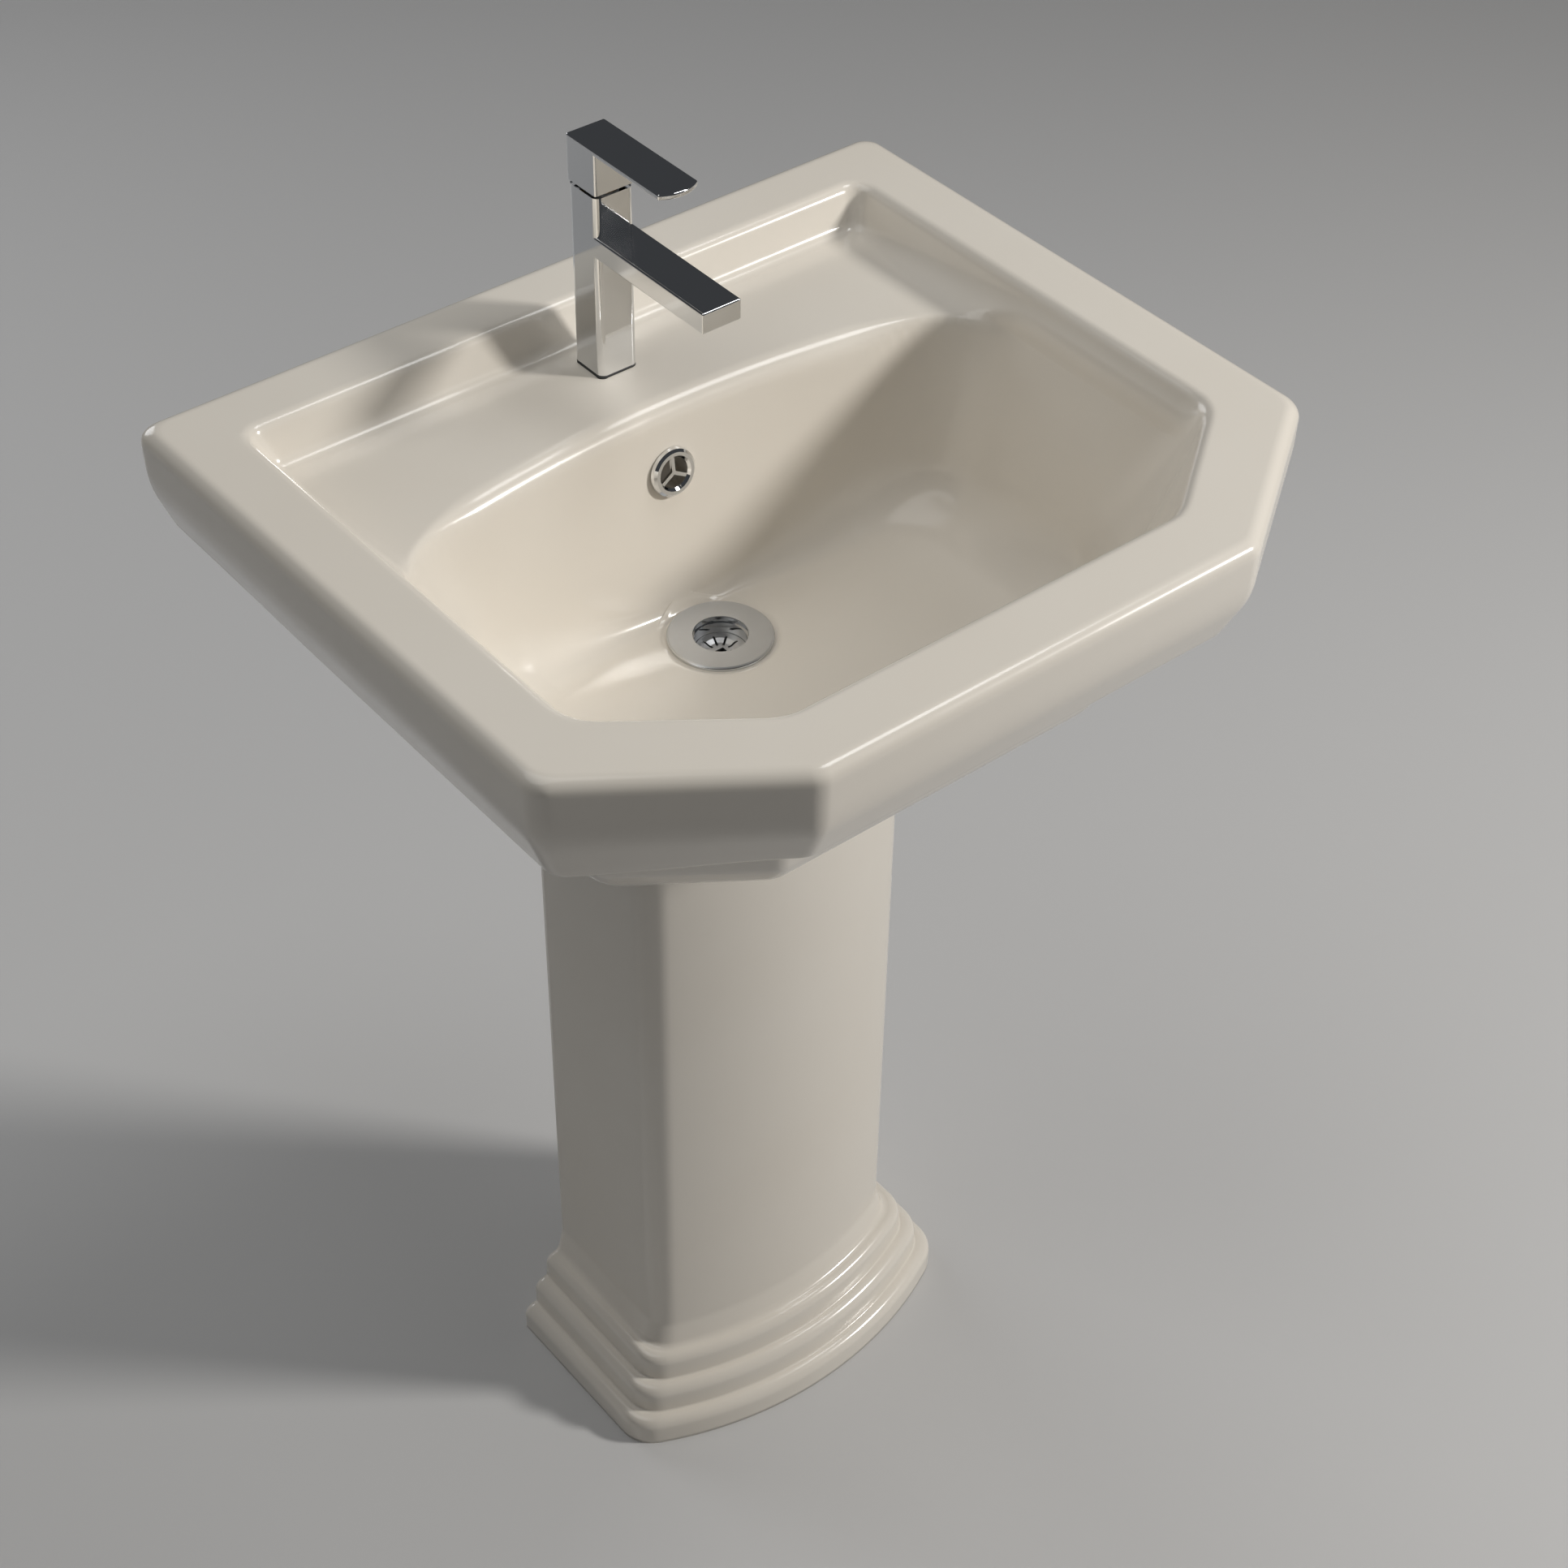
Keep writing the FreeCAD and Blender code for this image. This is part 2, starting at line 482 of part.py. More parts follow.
def make_trap():
    """A bottle trap: down from the waste, through a removable cup, and back to the wall."""
    axis = ("0", "waste_ahead")
    to_wall = Rotation(Vector(1, 0, 0), 90)
    away = Rotation(Vector(1, 0, 0), -90)
    turned("trap_inlet_pipe", [
        ("pipe_bore", "inlet_bottom"), ("pipe_radius", "inlet_bottom"),
        ("pipe_radius", "inlet_top - collar_thick"), ("inlet_collar", "inlet_top - collar_thick"),
        ("inlet_collar", "inlet_top"), ("pipe_bore", "inlet_top")], axis + ("0",))
    turned("trap_inlet_washer", ring_points("tail_bore - 1", "inlet_collar - 0.2", "inlet_top",
                                            "flange_top - tail_length"), axis + ("0",))
    inlet_nut = piece("trap_inlet_nut", axis + ("inlet_top",))
    low = "-collar_thick - union_lip"
    turn(inlet_nut, [("union_clear", low), ("union_radius", low), ("union_radius", "inlet_nut_top - 2"),
                     ("union_radius - 2", "inlet_nut_top"), ("tail_clear", "inlet_nut_top"),
                     ("tail_clear", "-collar_thick"), ("union_clear", "-collar_thick")])
    rib = rounds(inlet_nut, "XY", low, [("union_radius + rib_out", "0", "rib_radius")])
    repeat(inlet_nut, extrude(inlet_nut, rib, "inlet_nut_top"), "rib_count")

    union_nut("trap_body_nut", axis + ("trap_top + union_lip",))
    union_washer("trap_body_washer", axis + ("trap_top + union_lip",))
    make_trap_body()
    turned("trap_cup", [
        ("0", "trap_bottom - cup_depth"), ("cup_radius - cup_round", "trap_bottom - cup_depth"),
        ("cup_radius", "trap_bottom - cup_depth + cup_round"), ("cup_radius", "trap_bottom + cup_overlap"),
        ("trap_radius + 0.2", "trap_bottom + cup_overlap"), ("trap_radius + 0.2", "trap_bottom - 2"),
        ("cup_radius - cup_wall - 4", "trap_bottom - 2"),
        ("cup_radius - cup_wall - 4", "trap_bottom - cup_depth + 10"),
        ("cup_radius - cup_wall - 9", "trap_bottom - cup_depth + cup_wall"),
        ("0", "trap_bottom - cup_depth + cup_wall")], axis + ("0",))
    turned("trap_cup_seal", ring_points("trap_radius - trap_wall", "trap_radius", "trap_bottom - 2",
                                        "trap_bottom"), axis + ("0",))

    mouth = "waste_ahead + trap_radius + branch_length"
    union_nut("trap_outlet_nut", ("0", mouth + " + union_lip", "outlet_height"), away)
    union_washer("trap_outlet_washer", ("0", mouth + " + union_lip", "outlet_height"), away)
    wall = ("0", "basin_depth / 2", "outlet_height")
    reach = "(basin_depth / 2 - waste_ahead - outlet_start)"
    turned("trap_outlet_pipe", ring_points("pipe_bore", "pipe_radius", "0", reach), wall, to_wall)
    inside, skin = "pipe_radius + loose_fit", "wall_flange_thick - wall_flange_skin"
    turned("trap_wall_flange", [
        (inside, "0"), ("wall_flange_radius", "0"),
        ("wall_flange_radius - 2", "wall_flange_thick * 0.6"), ("union_radius", "wall_flange_thick"),
        (inside, "wall_flange_thick"), (inside, skin), ("union_radius - 1", skin),
        ("wall_flange_radius - 4", "wall_flange_skin"), (inside, "wall_flange_skin")], wall, to_wall)


def make_trap_body():
    body = piece("trap_body", ("0", "waste_ahead", "0"))
    turn(body, [("0", "trap_bottom"), ("trap_radius", "trap_bottom"), ("trap_radius", "trap_shoulder"),
                ("trap_neck", "trap_top - trap_neck_height"), ("trap_neck", "trap_top"), ("0", "trap_top")])
    branch = rounds(body, "XZ", "-(trap_radius + branch_length)", [("0", "outlet_height", "branch_radius")])
    extrude(body, branch, "branch_length + trap_radius - 6")
    turn(body, [("0", "trap_bottom - 1"), ("trap_radius - trap_wall", "trap_bottom - 1"),
                ("trap_radius - trap_wall", "trap_shoulder - trap_wall"),
                ("pipe_radius + 0.3", "trap_top - trap_neck_height"), ("pipe_radius + 0.3", "trap_top - 6"),
                ("trap_neck - 0.6", "trap_top"), ("trap_neck - 0.6", "trap_top + 1"),
                ("0", "trap_top + 1")], cut=True)
    for radius, depth in (("pipe_radius + 0.3", "branch_length + trap_radius - 6"),
                          ("trap_neck - 0.8", "washer_depth")):
        way = rounds(body, "XZ", "-(trap_radius + branch_length)", [("0", "outlet_height", radius)])
        extrude(body, way, depth, cut=True)
    return body


# ---------------------------------------------------------------- pedestal

def bowed(out, wall="0"):
    """The pedestal's plan moved out by out and in by wall: flat back, straight sides and a bowed
    front, joined by corner arcs that are tangent to both."""
    half = "(column_half + %s - %s)" % (out, wall)
    bow = "(bow_radius + %s - %s)" % (out, wall)
    corner = "(corner_radius + %s * corner_growth - %s / 2)" % (out, wall)
    middle = "(bow_radius - column_front)"
    deep = "sqrt((%s - %s) ^ 2 - (%s - %s) ^ 2)" % (bow, corner, half, corner)
    share = "%s / (%s - %s)" % (bow, bow, corner)
    side = "(%s - %s)" % (middle, deep)
    turn_at = "((%s - %s) * %s)" % (half, corner, share)
    turn_y = "(%s - %s * %s)" % (middle, deep, share)
    back = "pedestal_back" if wall == "0" else "(pedestal_back + 5)"
    points = [("-" + half, back), ("-" + half, side), ("-" + turn_at, turn_y),
              (turn_at, turn_y), (half, side), (half, back)]
    return points, {1: corner, 2: bow, 3: corner}


def make_pedestal():
    """A hollow column on a foot of rounded steps, open at the back for the trap's outlet."""
    body = piece("pedestal")
    for step in range(SIZES["foot_steps"]):
        out = "(foot_out - %d * step_out)" % step
        points, arcs = bowed(out)
        ring = outline(body, "XY", "%d * step_height" % step, points, arcs)
        extrude(body, ring, "step_height")
        top = number("%d * step_height" % (step + 1))
        soften(body, "step_round", lambda edge: lies_flat_at(edge, top) and not at_back(edge))
    points, arcs = bowed("0")
    extrude(body, outline(body, "XY", "step_height", points, arcs), "underside_height - step_height")
    points, arcs = bowed("0", "pedestal_wall")
    extrude(body, outline(body, "XY", "-1", points, arcs), "underside_height + 2", cut=True)
    return body


def lies_flat_at(edge, height):
    box = edge.BoundBox
    return abs(box.ZMin - height) < 0.01 and abs(box.ZMax - height) < 0.01


def at_back(edge):
    return edge.BoundBox.YMin > number("pedestal_back") - 0.01


# ---------------------------------------------------------------- tap

TAP = ("0", "tap_back", "0")


def make_tap_body():
    """A square column and spout, bored for the cartridge, the shank, the two inlets and the aerator."""
    body = piece("tap_body", TAP)
    bottom = "(" + DECK + " + tap_seal)"
    points, arcs = rounded_box("tap_half", "tap_half", "tap_corner")
    extrude(body, outline(body, "XY", bottom, points, arcs), "column_top - " + bottom)
    spout = outline(body, "XY", "spout_top - spout_thick",
                    box_points("-tap_half", "tap_half", "-spout_reach", "0"))
    extrude(body, spout, "spout_thick")
    soften(body, "edge_round", spout_edge)
    shank = rounds(body, "XY", bottom, [("0", "0", "shank_radius + slip_fit")])
    extrude(body, shank, "shank_socket", cut=True)
    cartridge = rounds(body, "XY", "cartridge_seat", [("0", "0", "cartridge_bore")])
    extrude(body, cartridge, "column_top - cartridge_seat + 1", cut=True)
    for radius, length in (("inlet_thread", "inlet_depth"), ("inlet_bore", "far")):
        pair = [(side + "inlet_offset", "0", radius) for side in ("-", "")]
        extrude(body, rounds(body, "XY", bottom + " + shank_socket - 0.5", pair), length, cut=True)
    way = rounds(body, "XZ", "0", [("0", "spout_way_height", "spout_way")])
    extrude(body, way, "aerator_ahead", cut=True)
    aerator = rounds(body, "XY", "spout_top - spout_thick - 1", [("0", "-aerator_ahead", "aerator_bore")])
    extrude(body, aerator, "aerator_top - spout_top + spout_thick + 1", cut=True)
    return body


def spout_edge(edge):
    """True for the spout's own outside edges, clear of the column."""
    box = edge.BoundBox
    return box.YMin < number("-tap_half") - 1


def make_tap_fixing():
    """What holds the tap down: base seal, hollow threaded shank, washers and nut."""
    seal = piece("tap_base_seal", TAP)
    points, arcs = rounded_box("tap_half - 0.6", "tap_half - 0.6", "tap_corner")
    extrude(seal, outline(seal, "XY", DECK, points, arcs), "tap_seal")
    extrude(seal, rounds(seal, "XY", DECK, [("0", "0", "shank_radius + 0.3")]), "tap_seal", cut=True)
    turned("tap_shank", ring_points("shank_bore", "shank_radius", "shank_bottom",
                                    DECK + " + tap_seal + shank_socket"), TAP)
    under = "(" + DECK + " - deck_thick)"
    turned("tap_rubber_washer", ring_points("shank_radius + 0.2", "tap_washer",
                                            under + " - tap_washer_thick", under), TAP)
    turned("tap_metal_washer", ring_points("shank_radius + 0.2", "tap_washer - 0.5",
                                           under + " - tap_washer_thick - tap_plate_thick",
                                           under + " - tap_washer_thick"), TAP)
    hex_nut("tap_shank_nut", "shank_nut_flats", "shank_nut_height", "shank_radius + 0.1",
            ("0", "tap_back", under + " - tap_washer_thick - tap_plate_thick"))


def make_aerator():
    at = ("0", "tap_back - aerator_ahead", "aerator_bottom")
    turned("aerator_housing", [
        ("insert_radius + 0.1", "0"), ("aerator_radius - 0.6", "0"), ("aerator_radius", "0.6"),
        ("aerator_radius", "aerator_height"), ("insert_radius - 1", "aerator_height"),
        ("insert_radius - 1", "aerator_height - 1.6"), ("insert_radius + 0.1", "aerator_height - 1.6")], at)
    insert = turned("aerator_insert", [("0", "0.8"), ("insert_radius", "0.8"),
                                       ("insert_radius", "insert_height"), ("0", "insert_height")], at)
    cell = rounds(insert, "XY", "0", [("cell_circle", "0", "cell_radius")])
    repeat(insert, extrude(insert, cell, "far", cut=True), "insert_cells")
    extrude(insert, rounds(insert, "XY", "0", [("0", "0", "cell_radius")]), "far", cut=True)
    top = "aerator_top - aerator_bottom"
    turned("aerator_seal", ring_points("insert_radius - 0.8", "aerator_radius", "aerator_height", top), at)


# ---------------------------------------------------------------- cartridge

SEAT = ("0", "tap_back", "cartridge_seat")
DISC_LOW = "(port_seal + base_height)"
DISC_HIGH = "(port_seal + base_height + disc_height)"
CARRIER_LOW = "(port_seal + base_height + 2 * disc_height + disc_gap)"


def make_cartridge_shell():
    """The still half of the cartridge: port seals, base, fixed disc, housing, slip ring and nut."""
    housing = turned("cartridge_housing", ring_points("housing_bore", "housing_radius", "0",
                                                      "housing_height"), SEAT)
    window = rounds(housing, "XZ", "0", [("0", "spout_way_height - cartridge_seat", "window_radius")])
    extrude(housing, window, "housing_radius + 1", cut=True)

    ports = [(side + "inlet_offset", "0") for side in ("-", "")]
    seals = piece("cartridge_port_seals", SEAT)
    rings = [place + (radius,) for place in ports for radius in ("port_radius + 0.3", "port_radius + 1.8")]
    extrude(seals, rounds(seals, "XY", "0", rings), "port_seal")
    holes = [place + ("port_radius",) for place in ports]
    for name, radius, low, high in (
            ("cartridge_base", "housing_bore - loose_fit", "port_seal", DISC_LOW),
            ("ceramic_disc_fixed", "fixed_disc", DISC_LOW, DISC_HIGH)):
        body = piece(name, SEAT)
        extrude(body, rounds(body, "XY", low, [("0", "0", radius)]), "%s - %s" % (high, low))
        extrude(body, rounds(body, "XY", low, holes), "far", cut=True)

    slip_ring = ring_points("rotor_neck + loose_fit", "housing_bore - loose_fit",
                            "rotor_shoulder + slip_fit", "rotor_shoulder + slip_ring")
    turned("cartridge_slip_ring", slip_ring, SEAT)
    nut = ring_points("nut_inner", "cartridge_bore - slip_fit", "housing_height", "nut_top")
    turned("cartridge_nut", nut, SEAT)


def make_disc_carrier():
    """The sliding half of the valve: the moving disc, and the fork that the lever's stem pushes."""
    centre = ("0", "moving_disc_offset", "moving_disc")
    disc = piece("ceramic_disc_moving", SEAT)
    low = DISC_HIGH + " + disc_gap"
    extrude(disc, rounds(disc, "XY", low, [centre]), "disc_height")
    pocket = rounds(disc, "XY", low, [("0", "moving_disc_offset", "moving_disc - 3")])
    extrude(disc, pocket, "disc_height / 2", cut=True)

    carrier = piece("disc_carrier", SEAT)
    extrude(carrier, rounds(carrier, "XY", CARRIER_LOW, [centre]), "carrier_height")
    post = outline(carrier, "XY", CARRIER_LOW + " + carrier_height / 2",
                   box_points("-fork_half", "fork_half", "-fork_front", "fork_back"))
    extrude(carrier, post, "fork_top - %s - carrier_height / 2" % CARRIER_LOW)
    slot = outline(carrier, "XY", "fork_floor", box_points(
        "-fork_half - 1", "fork_half + 1", "-fork_front + fork_wall", "fork_back - fork_wall"))
    extrude(carrier, slot, "far", cut=True)


def make_rotor():
    """Turns with the lever: guided in the housing, slotted for the fork, with the lug for the pin."""
    body = piece("cartridge_rotor", SEAT)
    turn(body, [("0", "rotor_bottom"), ("rotor_radius", "rotor_bottom"), ("rotor_radius", "rotor_shoulder"),
                ("rotor_neck", "rotor_shoulder"), ("rotor_neck", "head_bottom"), ("0", "head_bottom")])
    head = outline(body, "XY", "head_bottom",
                   box_points("-head_half", "head_half", "-head_front", "head_back"))
    extrude(body, head, "head_top - head_bottom")
    pin = ("pin_back", "pin_height - cartridge_seat")
    extrude(body, rounds(body, "YZ", "0", [pin + ("lug_radius",)]), "2 * head_half", both_ways=True)
    slot = outline(body, "XY", "rotor_bottom - 1", box_points(
        "-rotor_slot_half", "rotor_slot_half", "-rotor_slot_front", "rotor_slot_back"))
    extrude(body, slot, "far", cut=True)
    extrude(body, rounds(body, "YZ", "0", [pin + ("pin_radius",)]), "far", cut=True, both_ways=True)

    lever_pin = piece("lever_pin", SEAT)
    rod = rounds(lever_pin, "YZ", "0", [pin + ("pin_radius",)])
    extrude(lever_pin, rod, "2 * pin_half", both_ways=True)


# ---------------------------------------------------------------- lever

def make_lever():
    """A hollow block with a thin plate on top, pivoted at its lower back edge."""
    body = piece("lever_handle", TAP)
    points, arcs = rounded_box("tap_half", "tap_half", "tap_corner / 3")
    extrude(body, outline(body, "XY", "lever_bottom", points, arcs), "lever_top - lever_bottom")
    straight = "(lever_reach - lip_bulge)"
    plate = outline(body, "XY", "lever_top - plate_thick",
                    [("-tap_half", "-" + straight), ("tap_half", "-" + straight),
                     ("tap_half", "tap_half - 2"), ("-tap_half", "tap_half - 2")], {0: "lip_radius"})
    extrude(body, plate, "plate_thick")
    soften(body, "edge_round", plate_edge)
    inside = "(tap_half - lever_wall)"
    hollow = outline(body, "XY", "lever_bottom", box_points("-" + inside, inside, "-" + inside, inside))
    extrude(body, hollow, "lever_top - lever_roof - lever_bottom", cut=True)
    hole = rounds(body, "YZ", "0", [("pin_back", "pin_height", "pin_hole")])
    extrude(body, hole, "2 * pin_half + 0.4", cut=True, both_ways=True)
    screw_way = rounds(body, "XZ", "-tap_half - 1", [("0", "grub_height", "grub_radius")])
    extrude(body, screw_way, "lever_wall + 2", cut=True)
    plug_seat = rounds(body, "XZ", "-tap_half - 1", [("0", "grub_height", "plug_radius")])
    extrude(body, plug_seat, "plug_thick + 1", cut=True)

    stem = piece("lever_stem", TAP)
    block = outline(stem, "XY", "block_bottom",
                    box_points("-block_half", "block_half", "-block_front", "block_back"))
    extrude(stem, block, "lever_top - lever_roof - block_bottom")
    finger = outline(stem, "XY", "stem_bottom",
                     box_points("-stem_half", "stem_half", "-stem_front", "-stem_back"))
    extrude(stem, finger, "block_bottom - stem_bottom + 1")

    grub = piece("lever_grub_screw", TAP)
    shaft = rounds(grub, "XZ", "-tap_half + plug_thick", [("0", "grub_height", "grub_radius - 0.05")])
    extrude(grub, shaft, "tap_half - plug_thick - block_back")
    socket = rounds(grub, "XZ", "-tap_half + plug_thick", [("0", "grub_height", "grub_radius / 2")])
    extrude(grub, socket, "2", cut=True)

    plug = piece("lever_index_plug", TAP)
    disc = rounds(plug, "XZ", "-tap_half", [("0", "grub_height", "plug_radius - 0.05")])
    extrude(plug, disc, "plug_thick")


def plate_edge(edge):
    """True for the outside edges of the plate, clear of the block."""
    return edge.BoundBox.YMin < number("-tap_half") - 1 and edge.BoundBox.YMax < number("tap_half") + 1


# ---------------------------------------------------------------- make, check and write

def check(items):
    for item in items:
        if "Invalid" in item.State or "Error" in item.State:
            raise ValueError("%s failed: %s" % (item.Name, item.State))
    for body in BODIES:
        if body.Shape.isNull() or not body.Shape.isValid() or body.Shape.Volume <= 0:
            raise ValueError(body.Label + " has no valid solid")


def main():
    make_basin()
    make_overflow_ring()
    make_waste()
    make_trap()
    make_pedestal()
    make_tap_body()
    make_tap_fixing()
    make_aerator()
    make_cartridge_shell()
    make_disc_carrier()
    make_rotor()
    make_lever()
    DOC.recompute()
    check(DOC.Objects)
    os.makedirs("parts", exist_ok=True)
    for body in BODIES:
        body.Shape.exportStep("parts/%s.step" % body.Label)


main()
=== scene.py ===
"""A pedestal wash basin with a slim lever tap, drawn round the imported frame.

The frame is in metres. Shapes are worked out here in millimetres and scaled when their mesh is made.
X runs along the wall, Y towards the wall and Z up; the origin is on the floor.
"""
import json
import math

import bpy
import numpy as np
from mathutils import Matrix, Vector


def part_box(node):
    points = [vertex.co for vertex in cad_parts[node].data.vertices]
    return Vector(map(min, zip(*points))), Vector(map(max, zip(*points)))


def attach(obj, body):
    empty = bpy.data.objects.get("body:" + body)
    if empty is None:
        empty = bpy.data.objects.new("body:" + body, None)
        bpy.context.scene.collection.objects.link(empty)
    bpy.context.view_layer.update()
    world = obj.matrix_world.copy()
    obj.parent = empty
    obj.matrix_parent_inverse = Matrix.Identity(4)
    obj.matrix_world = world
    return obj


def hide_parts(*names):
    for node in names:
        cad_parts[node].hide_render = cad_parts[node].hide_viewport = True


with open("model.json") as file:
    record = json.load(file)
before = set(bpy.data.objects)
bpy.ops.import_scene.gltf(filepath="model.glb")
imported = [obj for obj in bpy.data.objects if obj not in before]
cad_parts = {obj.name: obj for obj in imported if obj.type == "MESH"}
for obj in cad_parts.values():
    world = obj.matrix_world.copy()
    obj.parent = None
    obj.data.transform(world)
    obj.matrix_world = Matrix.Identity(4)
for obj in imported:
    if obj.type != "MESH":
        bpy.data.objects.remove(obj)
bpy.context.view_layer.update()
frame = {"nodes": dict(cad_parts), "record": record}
MM = 0.001


def box_mm(node):
    """A node's lowest and highest corner in millimetres."""
    return [np.array(corner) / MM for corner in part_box(node)]


# ---------------------------------------------------------------- driving sizes, in millimetres

BASIN_LOW, BASIN_HIGH = box_mm("basin")
SIDE, BACK, FRONT = BASIN_HIGH[0], BASIN_HIGH[1], -BASIN_LOW[1]
RIM = 865.0
FLANGE_LOW, FLANGE_HIGH = box_mm("waste_flange")
WASTE_Y, FLANGE_TOP = (FLANGE_LOW[1] + FLANGE_HIGH[1]) / 2, FLANGE_HIGH[2]
STRAINER_TOP = box_mm("waste_strainer")[1][2]
CUT_ACROSS, CUT_DEEP = 131.0, 91.0
DECK = RIM - 28.5
FLOOR = 681.0
OVERFLOW_LOW, OVERFLOW_HIGH = box_mm("overflow_ring")
OVERFLOW = (OVERFLOW_LOW + OVERFLOW_HIGH) / 2
OVERFLOW_BORE, HOLE_STEPS = 14.3, 64
DUCT_HALF, DUCT_LOW, DUCT_FRONT, DUCT_BACK, DUCT_ROUND = 22.0, 715.0, 108.0, 142.0, 8.0
DUCT_RISE, DUCT_SKIN, DRILL_REACH = 2.0, 4.0, 20.0
PANEL_HALF, PANEL_LOW = 190.0, 685.0
WALL_BOLT_ACROSS, WALL_BOLT_HEIGHT, WALL_BOLT_HOLE, WALL_BOLT_PAST = 140.0, 753.0, 6.0, 5.0
OPEN_SIDE_ROWS, SHARP_ANGLE = 170, 40.0


# ---------------------------------------------------------------- mesh helpers

def turn_outwards(mesh):
    """Flip a closed mesh whose faces point inwards."""
    mesh.calc_loop_triangles()
    points = np.empty(len(mesh.vertices) * 3)
    mesh.vertices.foreach_get("co", points)
    corners = np.empty(len(mesh.loop_triangles) * 3, dtype=np.int32)
    mesh.loop_triangles.foreach_get("vertices", corners)
    a, b, c = points.reshape(-1, 3)[corners.reshape(-1, 3)].transpose(1, 0, 2)
    if (np.cross(a, b) * c).sum() < 0:
        mesh.flip_normals()


def make_piece(name, points, faces, material, body="sink"):
    """A mesh object from points in millimetres, riding on a body."""
    mesh = bpy.data.meshes.new(name)
    mesh.from_pydata((np.asarray(points, dtype=float) * MM).tolist(), [], faces)
    mesh.validate()
    mesh.polygons.foreach_set("use_smooth", [True] * len(mesh.polygons))
    mesh.update()
    turn_outwards(mesh)
    piece = bpy.data.objects.new(name, mesh)
    bpy.context.scene.collection.objects.link(piece)
    mesh.materials.append(material)
    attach(piece, body)
    return piece


def ring_faces(rows, count, closed_rows=False):
    """Quads between rings of count points each, stacked row after row."""
    faces = []
    last = rows if closed_rows else rows - 1
    for row in range(last):
        here, there = row * count, ((row + 1) % rows) * count
        for place in range(count):
            after = (place + 1) % count
            faces.append((here + place, here + after, there + after, there + place))
    return faces


def filleted(corners, step, arc_steps):
    """A path through (a, b, radius) corners with each corner rounded by an arc of its radius.

    step is the number of points on each straight run and arc_steps the number on each arc, so two
    paths with the same number of corners match point for point."""
    places = [np.array(corner[:2], dtype=float) for corner in corners]
    runs = []
    here = places[0]
    for index in range(1, len(places) - 1):
        before = places[index - 1] - places[index]
        after = places[index + 1] - places[index]
        before /= np.linalg.norm(before)
        after /= np.linalg.norm(after)
        half = math.acos(np.clip(np.dot(before, after), -1, 1)) / 2
        radius = corners[index][2]
        reach = radius / math.tan(half) if half > 1e-4 else 0
        start, end = places[index] + before * reach, places[index] + after * reach
        runs.append([here + (start - here) * t for t in np.linspace(0, 1, step, endpoint=False)])
        if math.pi / 2 - half < 1e-4 or radius < 1e-6:
            runs.append([start + (end - start) * t for t in np.linspace(0, 1, arc_steps, endpoint=False)])
        else:
            middle = before + after
            centre = places[index] + middle / np.linalg.norm(middle) * radius / math.sin(half)
            spoke_a, spoke_b = start - centre, end - centre
            sweep = math.pi - 2 * half
            curve = []
            for t in np.linspace(0, 1, arc_steps, endpoint=False):
                weight_a = math.sin((1 - t) * sweep) / math.sin(sweep)
                weight_b = math.sin(t * sweep) / math.sin(sweep)
                curve.append(centre + spoke_a * weight_a + spoke_b * weight_b)
            runs.append(curve)
        here = end
    runs.append([here + (places[-1] - here) * t for t in np.linspace(0, 1, step + 1)])
    return np.array([place for run in runs for place in run])


# ---------------------------------------------------------------- the basin's plan

def unit(across, up):
    """The direction (across, up) with length 1."""
    return np.array([across, up], dtype=float) / math.hypot(across, up)


# outward normals of the six edges, anticlockwise from the front
CUT_NORMAL = unit(CUT_DEEP, -CUT_ACROSS)
EDGE_NORMALS = np.array([[0, -1], CUT_NORMAL, [1, 0], [0, 1], [-1, 0], CUT_NORMAL * [-1, 1]])
CUT_PLACE = float(CUT_NORMAL @ [SIDE, CUT_DEEP - FRONT])
EDGE_PLACES = np.array([FRONT, CUT_PLACE, SIDE, BACK, SIDE, CUT_PLACE])
BACK_EDGE = 3
EDGE_STEPS = [56, 26, 64, 140, 64, 26]
ARC_STEPS = [12, 12, 14, 14, 12, 12]


def outline(places, radii):
    """Points round the six-sided plan whose edges stand at the given distances from the middle, with
    each corner rounded. Corner i lies between edges i and i + 1."""
    corners, reaches, centres = [], [], []
    for index in range(6):
        pair = np.array([EDGE_NORMALS[index], EDGE_NORMALS[(index + 1) % 6]])
        corner = np.linalg.solve(pair, [places[index], places[(index + 1) % 6]])
        cosine = float(pair[0] @ pair[1])
        corners.append(corner)
        reaches.append(radii[index] * math.sqrt((1 - cosine) / (1 + cosine)))
        centres.append(corner - radii[index] * (pair[0] + pair[1]) / (1 + cosine))
    points = []
    for index in range(6):
        normal = EDGE_NORMALS[index]
        along = np.array([-normal[1], normal[0]])
        start = corners[index - 1] + along * reaches[index - 1]
        end = corners[index] - along * reaches[index]
        points += [start + (end - start) * t for t in np.linspace(0, 1, EDGE_STEPS[index], endpoint=False)]
        first = math.atan2(normal[1], normal[0])
        beyond = EDGE_NORMALS[(index + 1) % 6]
        turn = (math.atan2(beyond[1], beyond[0]) - first) % (2 * math.pi)
        for t in np.linspace(0, 1, ARC_STEPS[index], endpoint=False):
            angle = first + turn * t
            points.append(centres[index] + radii[index] * np.array([math.cos(angle), math.sin(angle)]))
    return np.array(points)


# ---------------------------------------------------------------- the basin's open side

def plane(points, anchor, normal):
    """Distance beyond a plane, and its slope, at every point. The normal points into the ceramic."""
    normal = np.array(normal, dtype=float)
    normal /= np.linalg.norm(normal)
    return (points - np.array(anchor, dtype=float)) @ normal, np.broadcast_to(normal, points.shape)


def leaning(points, outward, place, height, tilt):
    """A wall that stands at place along outward at the given height and leans out going up."""
    lean = math.radians(tilt)
    normal = (outward[0] * math.cos(lean), outward[1] * math.cos(lean), -math.sin(lean))
    return plane(points, (outward[0] * place, outward[1] * place, height), normal)


